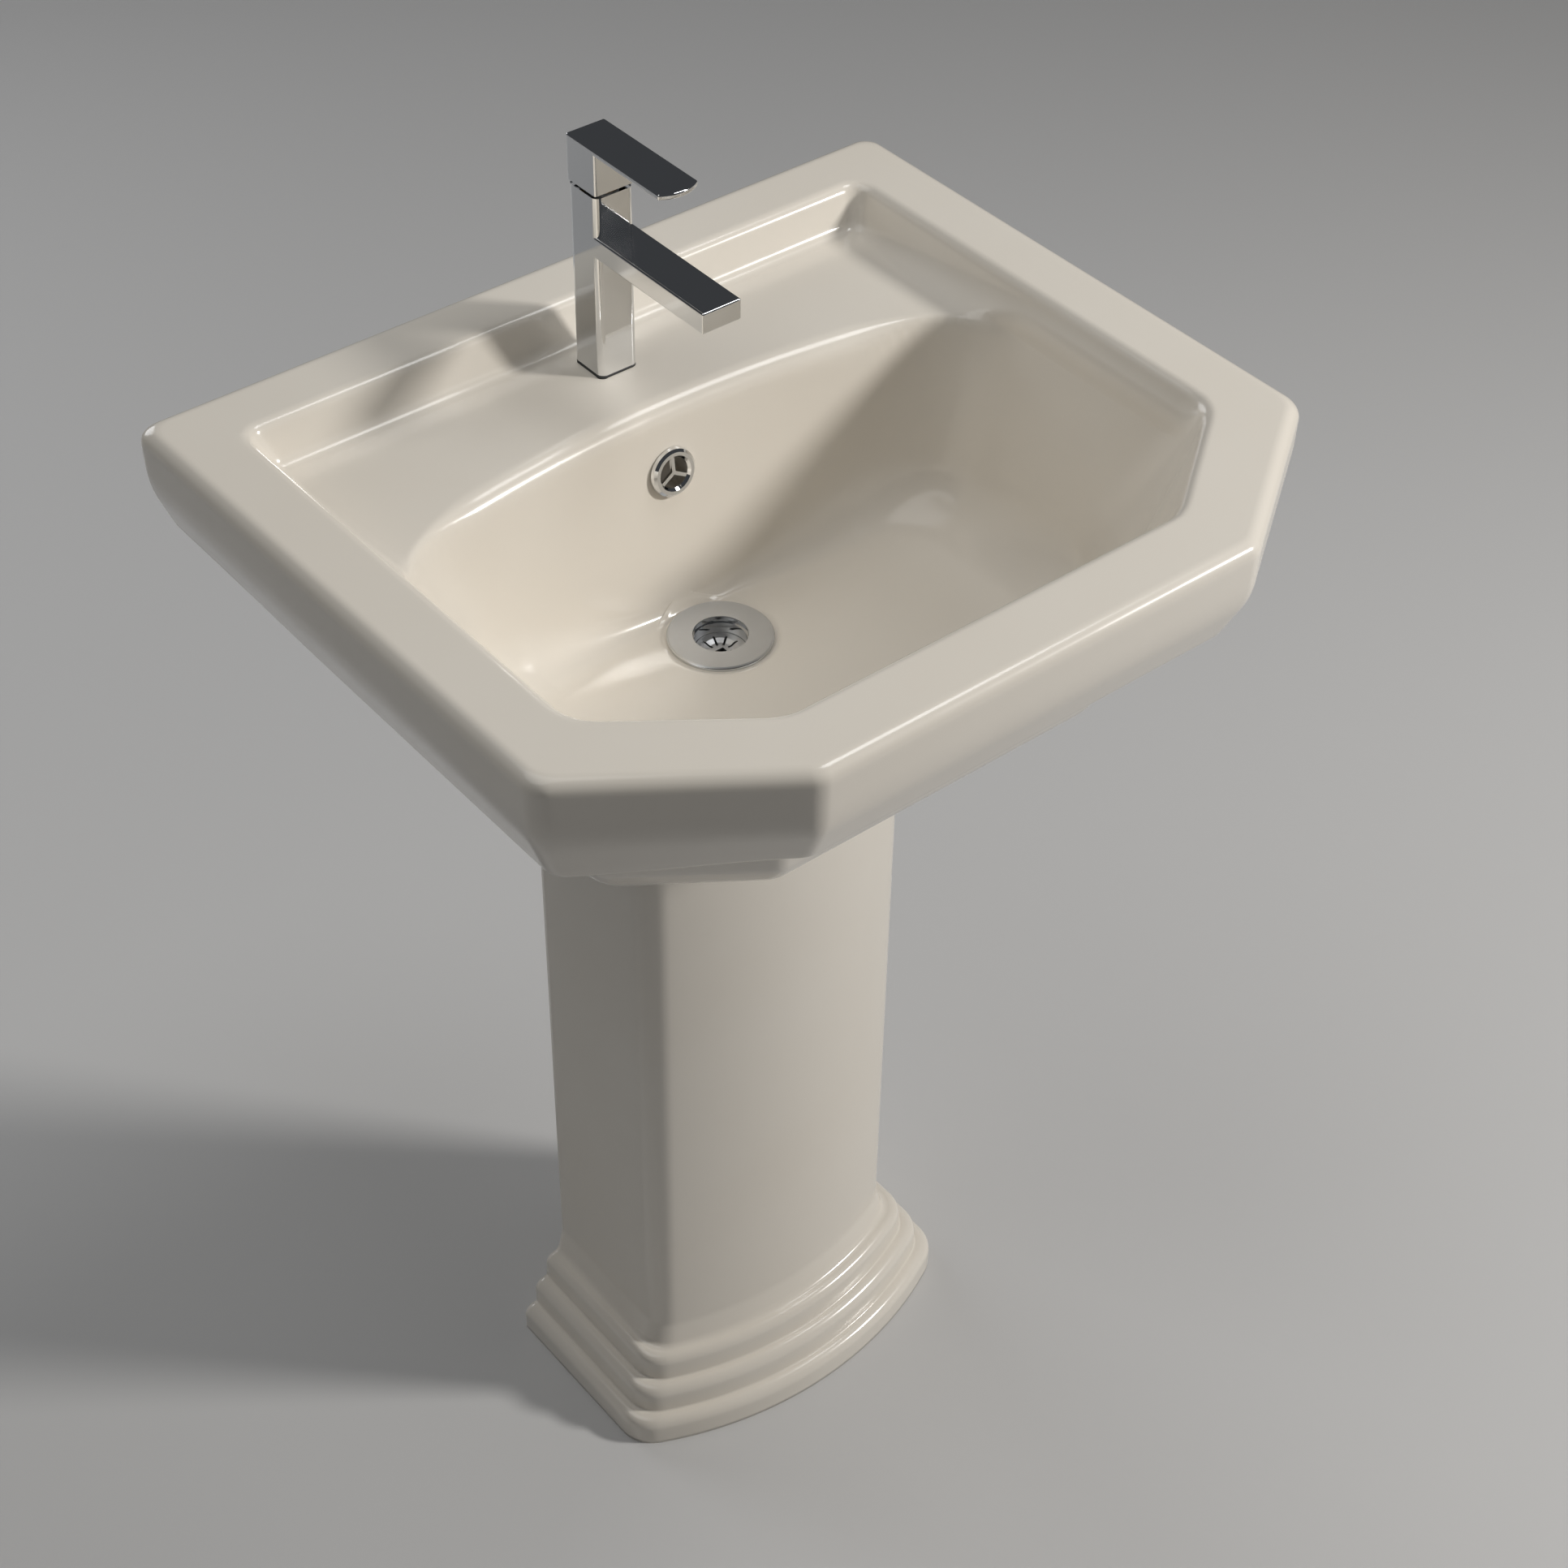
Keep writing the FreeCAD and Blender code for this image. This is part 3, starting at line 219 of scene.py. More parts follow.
def both(one, other, radius):
    """Where both shapes are open, with the corner between them rounded to radius."""
    (first, slope_a), (second, slope_b) = one, other
    cosine = np.clip((slope_a * slope_b).sum(axis=-1), -0.98, 0.9995)
    a, b = first + radius, second + radius
    rounded = (a > b * cosine) & (b > a * cosine)
    sine = 1 - cosine ** 2
    reach = np.sqrt(np.maximum(a * a + b * b - 2 * a * b * cosine, 1e-12) / sine)
    value = np.where(rounded, reach - radius, np.maximum(first, second))
    weight_a = (a - b * cosine) / (sine * reach)
    weight_b = (b - a * cosine) / (sine * reach)
    mixed = weight_a[:, None] * slope_a + weight_b[:, None] * slope_b
    slope = np.where(rounded[:, None], mixed, np.where((first > second)[:, None], slope_a, slope_b))
    return value, slope / np.linalg.norm(slope, axis=-1, keepdims=True)


def flipped(shape):
    """The same shape with its open and solid sides exchanged."""
    return -shape[0], -shape[1]


def either(one, other, radius):
    """Where either shape is open, with the ridge between them rounded to radius."""
    return flipped(both(flipped(one), flipped(other), radius))


# degrees that the walls lean out from upright
WALL_TILT, BACK_TILT, RECESS_TILT, DISH_TILT = 20.0, 6.0, 22.8, 60.0
# the opening in the rim, seen from above
OPENING_SIDE, OPENING_FRONT, OPENING_BACK = 250.0, 207.0, 212.0
OPENING_CUT = ((250.0, -136.0), (153.0, -207.0))
OPENING_ROUND, OPENING_ROUND_GROWTH, OPENING_ROUND_DEPTH = 34.0, 0.7, 100.0
RECESS_CORNER = 13.0
# the bowl's back wall is part of a cone with its axis far in front; BOWL_CORNER rounds it into the sides
BOWL_BACK, BOWL_BOW, BOWL_CORNER = 106.6, 900.0, 65.0
# the floor slopes to a shallow dish round the waste, sunk by DISH_DEPTH in front and flush at the back
FLOOR_SLOPE, DISH_RADIUS, DISH_DEPTH = 0.15, 37.5, 2.6
DISH_MARGIN, DISH_FOOT_ROUND, SEAT_ROUND = 6.0, 2.0, 6.0
SEAT_START, SEAT_END = WASTE_Y - 10, WASTE_Y + 24
RIM_ROUND, FLOOR_ROUND, WASTE_ROUND, DISH_ROUND = 9.0, 58.0, 11.0, 12.0
# distances from the waste over which the floor's rounding grows to its full size
FLOOR_ROUND_START, FLOOR_ROUND_END = 30.0, 190.0
# the deck's front edge grows sharper over CURL_START..CURL_END from the middle
DECK_ROUND, DECK_CURL_ROUND, CURL_START, CURL_END = 16.0, 5.0, 150.0, 215.0
# the fillet where the deck meets the walls grows from the back forwards
DECK_FILLET, DECK_FILLET_GROWTH, DECK_FILLET_BACK, DECK_FILLET_REACH = 11.0, 0.14, 190.0, 200.0
# below the deck that fillet turns into a wide one, over FOOT_REACH of depth
FOOT_DEPTH, FOOT_REACH, FOOT_ROUND = 45.0, 80.0, 45.0
# the waste's middle, seen from above
MIDDLE = np.array([0.0, WASTE_Y])


def cone(points, centre, radius, height, tilt):
    """A round wall about a centre, radius out at the given height, that leans out going up."""
    lean = math.radians(tilt)
    away = points[:, :2] - np.array(centre)
    reach = np.maximum(np.linalg.norm(away, axis=1), 1e-6)
    value = (reach - radius) * math.cos(lean) - (points[:, 2] - height) * math.sin(lean)
    slope = np.column_stack([away / reach[:, None] * math.cos(lean), np.full(len(points), -math.sin(lean))])
    return value, slope


def smooth_step(value, low, high):
    """0 up to low, 1 from high on, and an even S curve between."""
    share = np.clip((value - low) / (high - low), 0, 1)
    return share * share * (3 - 2 * share)


def ceramic(points):
    """Positive in the air and negative in the ceramic, for points in or over the basin's opening."""
    mirror = np.where(points[:, 0] < 0, -1.0, 1.0)
    points = points * np.column_stack([mirror, np.ones((len(mirror), 2))])
    depth = RIM - points[:, 2]
    (x_a, y_a), (x_b, y_b) = OPENING_CUT
    cut_out = unit(y_a - y_b, x_b - x_a)
    side = leaning(points, (1, 0), OPENING_SIDE, RIM, WALL_TILT)
    cut = leaning(points, cut_out, float(cut_out @ [x_a, y_a]), RIM, WALL_TILT)
    front = leaning(points, (0, -1), OPENING_FRONT, RIM, WALL_TILT)
    corner = OPENING_ROUND + OPENING_ROUND_GROWTH * np.clip(depth, 0, OPENING_ROUND_DEPTH)
    walls = both(both(side, cut, corner), front, corner)
    walls = both(walls, leaning(points, (0, 1), OPENING_BACK, RIM, RECESS_TILT), RECESS_CORNER)

    deck = plane(points, (0, 0, DECK), (0, 0, -1))
    back = cone(points, (0, BOWL_BACK - BOWL_BOW), BOWL_BOW, DECK, BACK_TILT)
    level = plane(points, (0, 0, FLOOR), (0, 0, -1))
    seat = DISH_DEPTH * (1 - smooth_step(points[:, 1], SEAT_START, SEAT_END))
    floor_tilt = 90 - math.degrees(math.atan(FLOOR_SLOPE))
    sloping = cone(points, MIDDLE, DISH_RADIUS + DISH_MARGIN, FLOOR + seat, floor_tilt)
    dish = both(cone(points, MIDDLE, DISH_RADIUS, FLOOR, DISH_TILT), level, DISH_FOOT_ROUND)
    floor = either(both(sloping, level, SEAT_ROUND), dish, DISH_ROUND)
    from_waste = np.linalg.norm(points[:, :2] - MIDDLE, axis=1)
    grown = smooth_step(from_waste, FLOOR_ROUND_START, FLOOR_ROUND_END)
    floor_round = WASTE_ROUND + (FLOOR_ROUND - WASTE_ROUND) * grown
    bowl = both(both(back, side, BOWL_CORNER), floor, floor_round)
    curl = smooth_step(points[:, 0], CURL_START, CURL_END)
    low = either(deck, bowl, DECK_ROUND + (DECK_CURL_ROUND - DECK_ROUND) * curl)

    ahead = np.clip(DECK_FILLET_BACK - points[:, 1], 0, DECK_FILLET_REACH)
    deck_fillet = DECK_FILLET + DECK_FILLET_GROWTH * ahead
    foot = np.clip((depth - FOOT_DEPTH) / FOOT_REACH, 0, 1)
    cavity = both(walls, low, deck_fillet * (1 - foot) + FOOT_ROUND * foot)
    return both(plane(points, (0, 0, RIM), (0, 0, 1)), flipped(cavity), RIM_ROUND)


# Each column of the open side is tried at TRIAL_STEPS places. Its rows are then shared out by length and
# by bend, which counts BEND_WEIGHT millimetres a radian, and evened out over BLEND columns and places.
WASTE_HOLE, TRIAL_STEPS, BEND_WEIGHT, BLEND = 24.0, 520, 14.0, 5
HEIGHT_MARGIN_LOW, HEIGHT_MARGIN_HIGH, HALVINGS = 40.0, 5.0, 19


def surface_height(plan):
    """The height of the basin's open side over each plan point."""
    low = np.full(len(plan), FLOOR - HEIGHT_MARGIN_LOW)
    high = np.full(len(plan), RIM + HEIGHT_MARGIN_HIGH)
    for _ in range(HALVINGS):
        middle = (low + high) / 2
        in_air = ceramic(np.column_stack([plan, middle]))[0] > 0
        high = np.where(in_air, middle, high)
        low = np.where(in_air, low, middle)
    return (low + high) / 2


def open_side(start, rows):
    """Rings from an outline on the flat rim, down to the edge of the waste hole."""
    away = start - MIDDLE
    reach = np.linalg.norm(away, axis=1)
    direction = away / reach[:, None]
    inwards = np.linspace(0, 1, TRIAL_STEPS)
    radius = reach[:, None] * (1 - inwards) + WASTE_HOLE * inwards
    plan = MIDDLE + direction[:, None, :] * radius[:, :, None]
    height = surface_height(plan.reshape(-1, 2)).reshape(radius.shape)
    run, rise = np.diff(radius, axis=1), np.diff(height, axis=1)
    heading = np.arctan2(rise, run)
    bend = np.abs(np.diff(heading, axis=1))
    bend = np.minimum(bend, 2 * math.pi - bend)
    bend = np.pad(bend, ((0, 0), (1, 0)), mode="edge") + np.pad(bend, ((0, 0), (0, 1)), mode="edge")
    total = np.cumsum(np.pad(np.hypot(run, rise) + BEND_WEIGHT * bend, ((0, 0), (1, 0))), axis=1)
    total /= total[:, -1:]
    window = 2 * BLEND + 1
    total = sum(np.roll(total, shift, axis=0) for shift in range(-BLEND, BLEND + 1)) / window
    padded = np.pad(total, ((0, 0), (BLEND, BLEND)), mode="edge")
    total = np.array([np.convolve(row, np.ones(window), "valid") for row in padded])
    total = (total - total[:, :1]) / (total[:, -1:] - total[:, :1])
    even = np.linspace(0, 1, rows)
    radius = np.array([np.interp(even, t, r) for t, r in zip(total, radius)])
    plan = MIDDLE + direction[:, None, :] * radius[:, :, None]
    height = surface_height(plan.reshape(-1, 2)).reshape(radius.shape)
    rings = np.concatenate([plan, height[:, :, None]], axis=2)
    return rings.transpose(1, 0, 2)


# ---------------------------------------------------------------- the basin's outside

APRON_LOW = RIM - 88
CREASE = RIM - 42
FRONT_RISE = 8.0
UNDERSIDE = 668.0
# how much further in the belly stands on the front and the cut corners than on the sides
BELLY_INSETS = np.array([5.0, 13.0, 0.0, 0.0, 0.0, 13.0])
WIDENING_START, WIDENING_REACH = 42.0, 38.0
# the belly starts at this inset, and behind it the hollow under the deck ends at this height
BELLY_START, BACK_CEILING = 34.0, RIM - 44
# the sides' profile turns into the back's over this stretch of Y
TURN_START, TURN_END = 60.0, BACK - 20
# the panel's ends slope over PANEL_END_OUT outside PANEL_HALF to PANEL_END_IN inside it
PANEL_END_OUT, PANEL_END_IN, PANEL_DEEP = 14.0, 8.0, 30.0
# above this much over its foot the back's apron is at the sides' heights, so the crease runs on level
APRON_ROUND = 8.0
# the front's rise and the panel's drop act on the fascia and apron only, out to these insets
RISE_REACH, PANEL_REACH = 32.0, 20.0
PROFILE_STEP, PROFILE_ARC = 5, 8


def outside_rings():
    """Rings from the flat rim out over the fascia, under the apron and down the bowl's outer side."""
    # (inset, height, rounding) on the front and sides, and on the back, which stays flat
    sides = [(16, RIM, 0), (0, RIM, 10), (1, CREASE, 85), (19, APRON_LOW, 7), (30, APRON_LOW, 4),
             (12, CREASE + 6, 12), (11, RIM - 15, 8), (42, RIM - 15, 10), (80, 700, 50),
             (113, UNDERSIDE, 16), (147, UNDERSIDE, 0)]
    back = [(16, RIM, 0), (0, RIM, 10), (0, CREASE, 0), (0, APRON_LOW, 7), (11, APRON_LOW, 4),
            (11, RIM - 60, 0), (11, BACK_CEILING, 8), (142, BACK_CEILING, 10), (145, 700, 30),
            (148, UNDERSIDE, 16), (170, UNDERSIDE, 0)]
    # the plan's corner radius at each of those profile corners
    plan_radius = [20, 20, 20, 16, 9, 12, 12, 20, 20, 20, 20]
    back_radius = [12, 12, 12, 12, 5, 6, 6, 40, 60, 60, 50]
    path_a = filleted(sides, PROFILE_STEP, PROFILE_ARC)
    path_b = filleted(back, PROFILE_STEP, PROFILE_ARC)
    order = np.linspace(0, len(plan_radius) - 1, len(path_a))
    radius_a = np.interp(order, range(len(plan_radius)), plan_radius)
    radius_b = np.interp(order, range(len(back_radius)), back_radius)
    rings = []
    start = outline(EDGE_PLACES, [20, 20, 12, 12, 20, 20])
    towards_back = smooth_step(start[:, 1], TURN_START, TURN_END)
    ahead = smooth_step(-start[:, 1], FRONT - CUT_DEEP, FRONT)
    panel = smooth_step(-np.abs(start[:, 0]), -PANEL_HALF - PANEL_END_OUT, -PANEL_HALF + PANEL_END_IN)
    panel = panel * (start[:, 1] > BACK - PANEL_DEEP)
    for (inset, height), (back_inset, back_height), near, far in zip(path_a, path_b, radius_a, radius_b):
        widening = np.clip((inset - WIDENING_START) / WIDENING_REACH, 0, 1)
        places = EDGE_PLACES - inset - BELLY_INSETS * widening
        places[BACK_EDGE] = BACK - back_inset
        plan = outline(places, [near, near, far, far, near, near])
        if back_inset < 0.01 and height > APRON_LOW + APRON_ROUND:
            back_height = height
        if inset > BELLY_START:
            back_height = min(height, BACK_CEILING)
        z = height * (1 - towards_back) + back_height * towards_back
        low = np.clip((CREASE - z) / (CREASE - APRON_LOW), 0, 1)
        rise = FRONT_RISE * ahead * (inset < RISE_REACH)
        drop = (APRON_LOW - PANEL_LOW) * panel * (back_inset < PANEL_REACH)
        rings.append(np.column_stack([plan, z + low * (rise - drop)]))
    return np.array(rings)


BOSS_RADIUS, BOSS_FLARE, BOSS_LOW, UNDERSIDE_STEPS = 40.0, 4.0, 640.0, 12
# the waste hole's straight part ends this far below the bowl's floor
HOLE_LIP = 4.0


def waste_rings(last):
    """From the flat underside in to the boss, down it, and up the waste hole to the bowl's floor."""
    away = last[:, :2] - MIDDLE
    angle = np.arctan2(away[:, 1], away[:, 0])
    circle = np.column_stack([np.cos(angle), np.sin(angle)])
    rings = []
    profile = [(BOSS_RADIUS + BOSS_FLARE, UNDERSIDE, 0), (BOSS_RADIUS, UNDERSIDE, 3),
               (BOSS_RADIUS, BOSS_LOW, 2), (WASTE_HOLE, BOSS_LOW, 1), (WASTE_HOLE, FLOOR - HOLE_LIP, 0)]
    for radius, height in filleted(profile, 3, 4):
        rings.append(np.column_stack([MIDDLE + circle * radius, np.full(len(last), height)]))
    between = [last * (1 - t) + rings[0] * t for t in np.linspace(0, 1, UNDERSIDE_STEPS)[1:-1]]
    return np.array(between + rings)


def combine(piece, points, faces, operation):
    """Add a closed shape to a piece, or cut it away; the points are in millimetres."""
    mesh = bpy.data.meshes.new("tool")
    mesh.from_pydata((np.asarray(points) * MM).tolist(), [], faces)
    turn_outwards(mesh)
    tool = bpy.data.objects.new("tool", mesh)
    bpy.context.scene.collection.objects.link(tool)
    join = piece.modifiers.new("join", "BOOLEAN")
    join.operation, join.solver, join.object = operation, "EXACT", tool
    shaped = piece.evaluated_get(bpy.context.evaluated_depsgraph_get())
    result = bpy.data.meshes.new_from_object(shaped)
    piece.modifiers.remove(join)
    piece.data = result
    bpy.data.objects.remove(tool)


def capped(rings):
    """The points and faces of a closed shape from its rings, the first and the last capped."""
    rows, count = len(rings), len(rings[0])
    ends = [tuple(range(count))[::-1], tuple(range((rows - 1) * count, rows * count))]
    return np.concatenate(rings), ring_faces(rows, count) + ends


def drill(piece, centre, radius, reach):
    """Cut a round hole along Y through a piece, from reach[0] to reach[1] from its centre."""
    angle = np.linspace(0, 2 * math.pi, HOLE_STEPS, endpoint=False)
    circle = np.column_stack([np.cos(angle), np.zeros(HOLE_STEPS), np.sin(angle)]) * radius + np.array(centre)
    combine(piece, *capped([circle + [0, shift, 0] for shift in reach]), "DIFFERENCE")


def add_duct(piece):
    """The closed bulge behind the bowl that holds the overflow's channel."""
    angle = np.linspace(0, math.pi, HOLE_STEPS // 2)
    cap = np.column_stack([np.cos(angle), np.sin(angle)])
    rings = []
    profile = [(0, DUCT_FRONT, 0), (0, DUCT_BACK, DUCT_ROUND), (2 * DUCT_ROUND, DUCT_BACK, 0)]
    for inset, y in filleted(profile, 3, 8):
        half = DUCT_HALF - inset
        high = cap * half + [0, OVERFLOW[2] + DUCT_RISE]
        low = -cap * half + [0, DUCT_LOW]
        loop = np.concatenate([high, low])
        rings.append(np.column_stack([loop[:, 0], np.full(len(loop), y), loop[:, 1]]))
    combine(piece, *capped(rings), "UNION")


def make_basin(material):
    outer = outside_rings()
    waste = waste_rings(outer[-1])
    inner = open_side(outer[0][:, :2], OPEN_SIDE_ROWS)
    rings = np.concatenate([inner[::-1], outer[1:], waste])
    faces = ring_faces(len(rings), rings.shape[1], closed_rows=True)
    piece = make_piece("basin_shell", rings.reshape(-1, 3), faces, material)
    add_duct(piece)
    drill(piece, OVERFLOW, OVERFLOW_BORE, (-DRILL_REACH, DUCT_BACK - DUCT_SKIN - OVERFLOW[1]))
    for side in (-1, 1):
        place = (side * WALL_BOLT_ACROSS, BACK, WALL_BOLT_HEIGHT)
        drill(piece, place, WALL_BOLT_HOLE, (-DRILL_REACH, WALL_BOLT_PAST))
    piece.data.set_sharp_from_angle(angle=math.radians(SHARP_ANGLE))
    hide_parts("basin")


# ---------------------------------------------------------------- pedestal

COLUMN_HALF, PEDESTAL_BACK, COLUMN_FRONT, BOW = 114.0, 110.0, -40.0, 271.0
CORNER, CORNER_GROWTH, PEDESTAL_WALL = 24.0, 0.15, 14.0
SIDE_STEPS, CORNER_STEPS, BOW_STEPS = 40, 14, 70
# (how far out, height, rounding) up the foot's three steps and the column
FOOT_PROFILE = [(40, 0, 0), (40, 25, 9), (29, 25, 1.6), (28.5, 49, 9), (17.5, 49, 1.6),
                (16.5, 71, 8), (5, 72.5, 6), (0, 92, 24), (0, UNDERSIDE, 0)]


def arc(across, y, radius, first, last, steps):
    """Points of an arc about (across, y), without its last point."""
    turns = [first + (last - first) * t for t in np.linspace(0, 1, steps, endpoint=False)]
    return [(across + radius * math.cos(turn), y + radius * math.sin(turn)) for turn in turns]


def bowed(out):
    """The pedestal's plan moved out by out: from its back left edge round the front to the right."""
    half, bow = COLUMN_HALF + out, BOW + out
    corner = CORNER + CORNER_GROWTH * out
    middle = BOW + COLUMN_FRONT
    deep = math.sqrt((bow - corner) ** 2 - (half - corner) ** 2)
    side = middle - deep
    right = math.atan2(-deep, half - corner)
    left = -math.pi - right
    points = [(-half, PEDESTAL_BACK + (side - PEDESTAL_BACK) * t)
              for t in np.linspace(0, 1, SIDE_STEPS, endpoint=False)]
    points += arc(corner - half, side, corner, -math.pi, left, CORNER_STEPS)
    points += arc(0, middle, bow, left, right, BOW_STEPS)
    points += arc(half - corner, side, corner, right, 0, CORNER_STEPS)
    points += [(half, side + (PEDESTAL_BACK - side) * t) for t in np.linspace(0, 1, SIDE_STEPS)]
    return np.array(points)


def make_pedestal(material):
    """Outer skin over the three rounded steps, inner skin straight up, and the two open ends."""
    rows = []
    inner = bowed(-PEDESTAL_WALL)
    for out, height in filleted(FOOT_PROFILE, 5, 9):
        loop = np.concatenate([bowed(out), inner[::-1]])
        rows.append(np.column_stack([loop, np.full(len(loop), height)]))
    rows = np.array(rows)
    count = rows.shape[1]
    faces = ring_faces(len(rows), count)
    top = (len(rows) - 1) * count
    for place in range(count // 2 - 1):
        low = (place, count - 1 - place, count - 2 - place, place + 1)
        faces.append(low)
        faces.append(tuple(top + index for index in reversed(low)))
    piece = make_piece("pedestal_column", rows.reshape(-1, 3), faces, material)
    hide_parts("pedestal")


# ---------------------------------------------------------------- materials

def new_material(name, color, roughness, metallic=0.0):
    """A material with its node tree and its shader."""
    material = bpy.data.materials.new(name)
    material.use_nodes = True
    shader = material.node_tree.nodes["Principled BSDF"]
    shader.inputs["Base Color"].default_value = (*color, 1)
    shader.inputs["Roughness"].default_value = roughness
    shader.inputs["Metallic"].default_value = metallic
    return material, material.node_tree, shader


def noise(tree, scale, detail=3.0):
    """Noise in the piece's own coordinates, which are metres of the frame."""
    where = tree.nodes.new("ShaderNodeTexCoord")
    texture = tree.nodes.new("ShaderNodeTexNoise")
    texture.inputs["Scale"].default_value = scale
    texture.inputs["Detail"].default_value = detail
    tree.links.new(where.outputs["Object"], texture.inputs["Vector"])
    return texture.outputs["Fac"]


def mapped(tree, value, low, high, first, last):
    """Map a value from low..high to first..last."""
    node = tree.nodes.new("ShaderNodeMapRange")
    for socket, number in (("From Min", low), ("From Max", high), ("To Min", first), ("To Max", last)):
        node.inputs[socket].default_value = number
    tree.links.new(value, node.inputs["Value"])
    return node.outputs["Result"]


def tinted(tree, shader, value, first, last):
    """Let the base colour drift from first to last with a 0..1 value."""
    mix = tree.nodes.new("ShaderNodeMix")
    mix.data_type = "RGBA"
    mix.inputs["A"].default_value = (*first, 1)
    mix.inputs["B"].default_value = (*last, 1)
    tree.links.new(value, mix.inputs["Factor"])
    tree.links.new(mix.outputs["Result"], shader.inputs["Base Color"])


def bumped(tree, shader, value, distance, strength=1.0):
    """Raise the surface by a 0..1 value times distance, in metres."""
    bump = tree.nodes.new("ShaderNodeBump")
    bump.inputs["Distance"].default_value = distance
    bump.inputs["Strength"].default_value = strength
    tree.links.new(value, bump.inputs["Height"])
    tree.links.new(bump.outputs["Normal"], shader.inputs["Normal"])


IVORY_DEEP, IVORY_PALE = (0.79, 0.74, 0.66), (0.81, 0.765, 0.69)
GLAZE_GLOSS = (0.15, 0.21)


def glaze():
    """Fired glaze: an even gloss, a faint drift of tone and a surface that is not quite flat."""
    material, tree, shader = new_material("glazed_ivory", IVORY_PALE, GLAZE_GLOSS[0])
    tinted(tree, shader, mapped(tree, noise(tree, 6), 0.3, 0.7, 0, 1), IVORY_DEEP, IVORY_PALE)
    gloss = mapped(tree, noise(tree, 40, 4), 0.3, 0.7, *GLAZE_GLOSS)
    tree.links.new(gloss, shader.inputs["Roughness"])
    bumped(tree, shader, noise(tree, 45, 1), 0.00003, 0.6)
    shader.inputs["Coat Weight"].default_value = 0.2
    shader.inputs["Coat Roughness"].default_value = 0.08
    return material


def chrome():
    """Bright chrome with the faint haze of water marks in its gloss."""
    material, tree, shader = new_material("chrome", (0.86, 0.87, 0.88), 0.05, 1.0)
    haze = mapped(tree, noise(tree, 60, 4), 0.35, 0.75, 0.04, 0.10)
    tree.links.new(haze, shader.inputs["Roughness"])
    return material


def plain(name, color, roughness, metallic=0.0, grain=400.0, depth=0.00004):
    """A moulded or machined surface with a fine grain and a little unevenness of tone."""
    material, tree, shader = new_material(name, color, roughness, metallic)
    darker = tuple(channel * 0.9 for channel in color)
    tinted(tree, shader, noise(tree, 30), darker, color)
    uneven = mapped(tree, noise(tree, grain / 3), 0.3, 0.7, roughness * 0.85, roughness * 1.15)
    tree.links.new(uneven, shader.inputs["Roughness"])
    bumped(tree, shader, noise(tree, grain, 2), depth)
    return material


SATIN, POLISHED = 0.42, 0.10


def turned_metal():
    """Satin metal, but polished on the waste's throat, between the flange's top and the strainer."""
    material = plain("satin_metal", (0.66, 0.67, 0.68), SATIN, 1.0, 900.0, 0.00001)
    tree = material.node_tree
    where = tree.nodes.new("ShaderNodeTexCoord")
    split = tree.nodes.new("ShaderNodeSeparateXYZ")
    tree.links.new(where.outputs["Object"], split.inputs["Vector"])
    away = tree.nodes.new("ShaderNodeMath")
    away.operation = "SUBTRACT"
    away.inputs[1].default_value = (FLANGE_TOP + STRAINER_TOP) / 2 * MM
    tree.links.new(split.outputs["Z"], away.inputs[0])
    distance = tree.nodes.new("ShaderNodeMath")
    distance.operation = "ABSOLUTE"
    tree.links.new(away.outputs["Value"], distance.inputs[0])
    throat_half = (FLANGE_TOP - STRAINER_TOP) / 2 * MM
    first, last = throat_half - 0.0012, throat_half - 0.0006
    gloss = mapped(tree, distance.outputs["Value"], first, last, POLISHED, SATIN)
    tree.links.new(gloss, tree.nodes["Principled BSDF"].inputs["Roughness"])
    return material


MATERIALS = {
    "glazed_ivory": glaze(),
    "chrome": chrome(),
    "satin_metal": turned_metal(),
    "brass": plain("brass", (0.66, 0.49, 0.24), 0.28, 1.0),
    "white_plastic": plain("white_plastic", (0.80, 0.80, 0.78), 0.30),
    "grey_plastic": plain("grey_plastic", (0.40, 0.41, 0.43), 0.45),
    "white_ceramic": plain("white_ceramic", (0.85, 0.85, 0.84), 0.25),
    "black_rubber": plain("black_rubber", (0.03, 0.03, 0.03), 0.65),
    "clear_seal": plain("clear_seal", (0.60, 0.58, 0.53), 0.45),
}


def dress_frame():
    """Give every CAD piece the material of its slot."""
    slots = {entry["node"]: entry["material_slot"] for entry in frame["record"]["subparts"]}
    for name, node in frame["nodes"].items():
        node.data.materials.clear()
        node.data.materials.append(MATERIALS[slots[name]])


# ---------------------------------------------------------------- stage

FLOOR_HALF = 6.0
ROOM_MIDDLE = np.array([0, 0, 0.8])
CAMERA_PLACE, CAMERA_LENS = (-0.94252, -1.16411, 1.92006), 67.40


def make_floor():
    """A plain pale floor under the pedestal."""
    mesh = bpy.data.meshes.new("floor")
    half = FLOOR_HALF
    corners = [(-half, -half, 0), (half, -half, 0), (half, half, 0), (-half, half, 0)]
    mesh.from_pydata(corners, [], [(0, 1, 2, 3)])
    floor = bpy.data.objects.new("floor", mesh)
    bpy.context.scene.collection.objects.link(floor)
    mesh.materials.append(new_material("floor_paint", (0.60, 0.60, 0.60), 0.6)[0])


def pose(thing, right, up, forward, place):
    """Stand a lamp or camera at place, looking along forward."""
    rows = zip(np.column_stack([right, up, -forward]), place)
    thing.matrix_world = Matrix([(*row, where) for row, where in rows] + [(0, 0, 0, 1)])


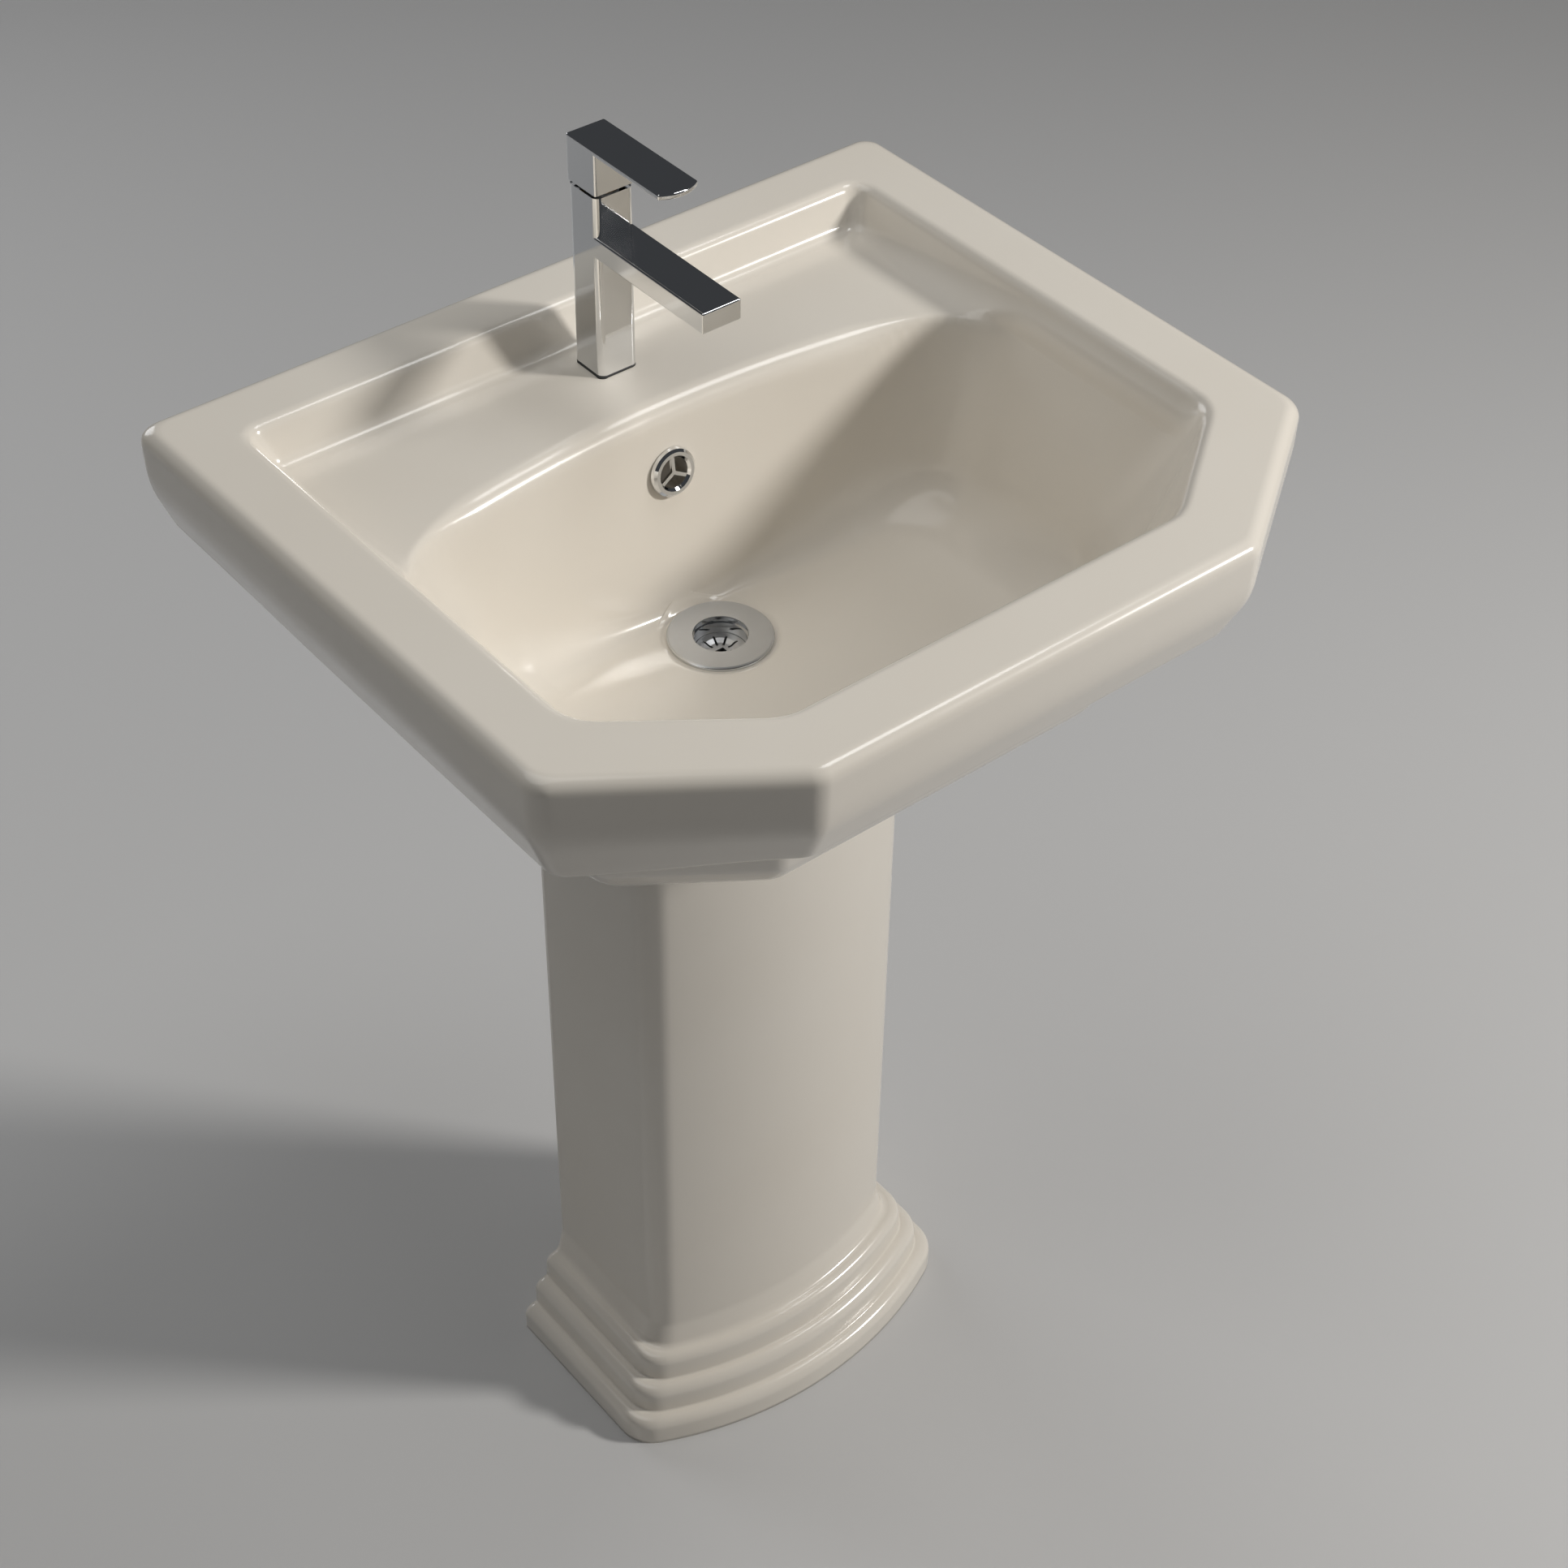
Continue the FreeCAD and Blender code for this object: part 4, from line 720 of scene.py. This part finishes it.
def aim(thing, place, target):
    """Stand a lamp at place, pointing at target."""
    direction = np.array(target) - np.array(place)
    forward = direction / np.linalg.norm(direction)
    right = np.cross(forward, (0, 0, 1))
    right /= np.linalg.norm(right)
    pose(thing, right, np.cross(right, forward), forward, place)


def add_light(name, place, target, size, power, color=(1, 1, 1)):
    data = bpy.data.lights.new(name, "AREA")
    data.shape = "DISK"
    data.size = size
    data.energy = power
    data.color = color
    light = bpy.data.objects.new(name, data)
    bpy.context.scene.collection.objects.link(light)
    aim(light, place, target)


def make_lights():
    """A soft key low on the right, a broad fill, a top light and one behind, in a dim world."""
    key_place = ROOM_MIDDLE + 3.0 * np.array([0.68, -0.62, 0.44])
    add_light("key", key_place, ROOM_MIDDLE, 0.45, 66, (1, 0.97, 0.93))
    add_light("fill", (-1.2, 0.5, 3.4), ROOM_MIDDLE, 2.8, 24, (1, 0.99, 0.96))
    add_light("top", (1.15, -0.4, 3.2), ROOM_MIDDLE, 0.9, 12)
    add_light("back", (-0.4, 2.8, 1.6), ROOM_MIDDLE, 1.4, 14, (0.97, 0.98, 1))
    world = bpy.data.worlds.new("studio")
    world.use_nodes = True
    surround = world.node_tree.nodes["Background"]
    surround.inputs["Color"].default_value = (0.86, 0.90, 0.97, 1)
    surround.inputs["Strength"].default_value = 0.05
    bpy.context.scene.world = world
    bpy.context.scene.view_settings.view_transform = "Standard"


def make_camera():
    """Above the basin's front left corner, looking down across it."""
    yaw, pitch, roll = math.radians(39.494), math.radians(41.743), math.radians(0.949)
    ahead = np.array([math.sin(yaw), math.cos(yaw), 0]) * math.cos(pitch)
    forward = ahead - [0, 0, math.sin(pitch)]
    level = np.array([math.cos(yaw), -math.sin(yaw), 0])
    right = math.cos(roll) * level + math.sin(roll) * np.cross(level, forward)
    data = bpy.data.cameras.new("camera")
    data.sensor_width = 36
    data.lens = CAMERA_LENS
    camera = bpy.data.objects.new("camera", data)
    bpy.context.scene.collection.objects.link(camera)
    pose(camera, right, np.cross(right, forward), forward, CAMERA_PLACE)
    bpy.context.scene.camera = camera


make_camera()
make_floor()
make_lights()
dress_frame()
make_basin(MATERIALS["glazed_ivory"])
make_pedestal(MATERIALS["glazed_ivory"])
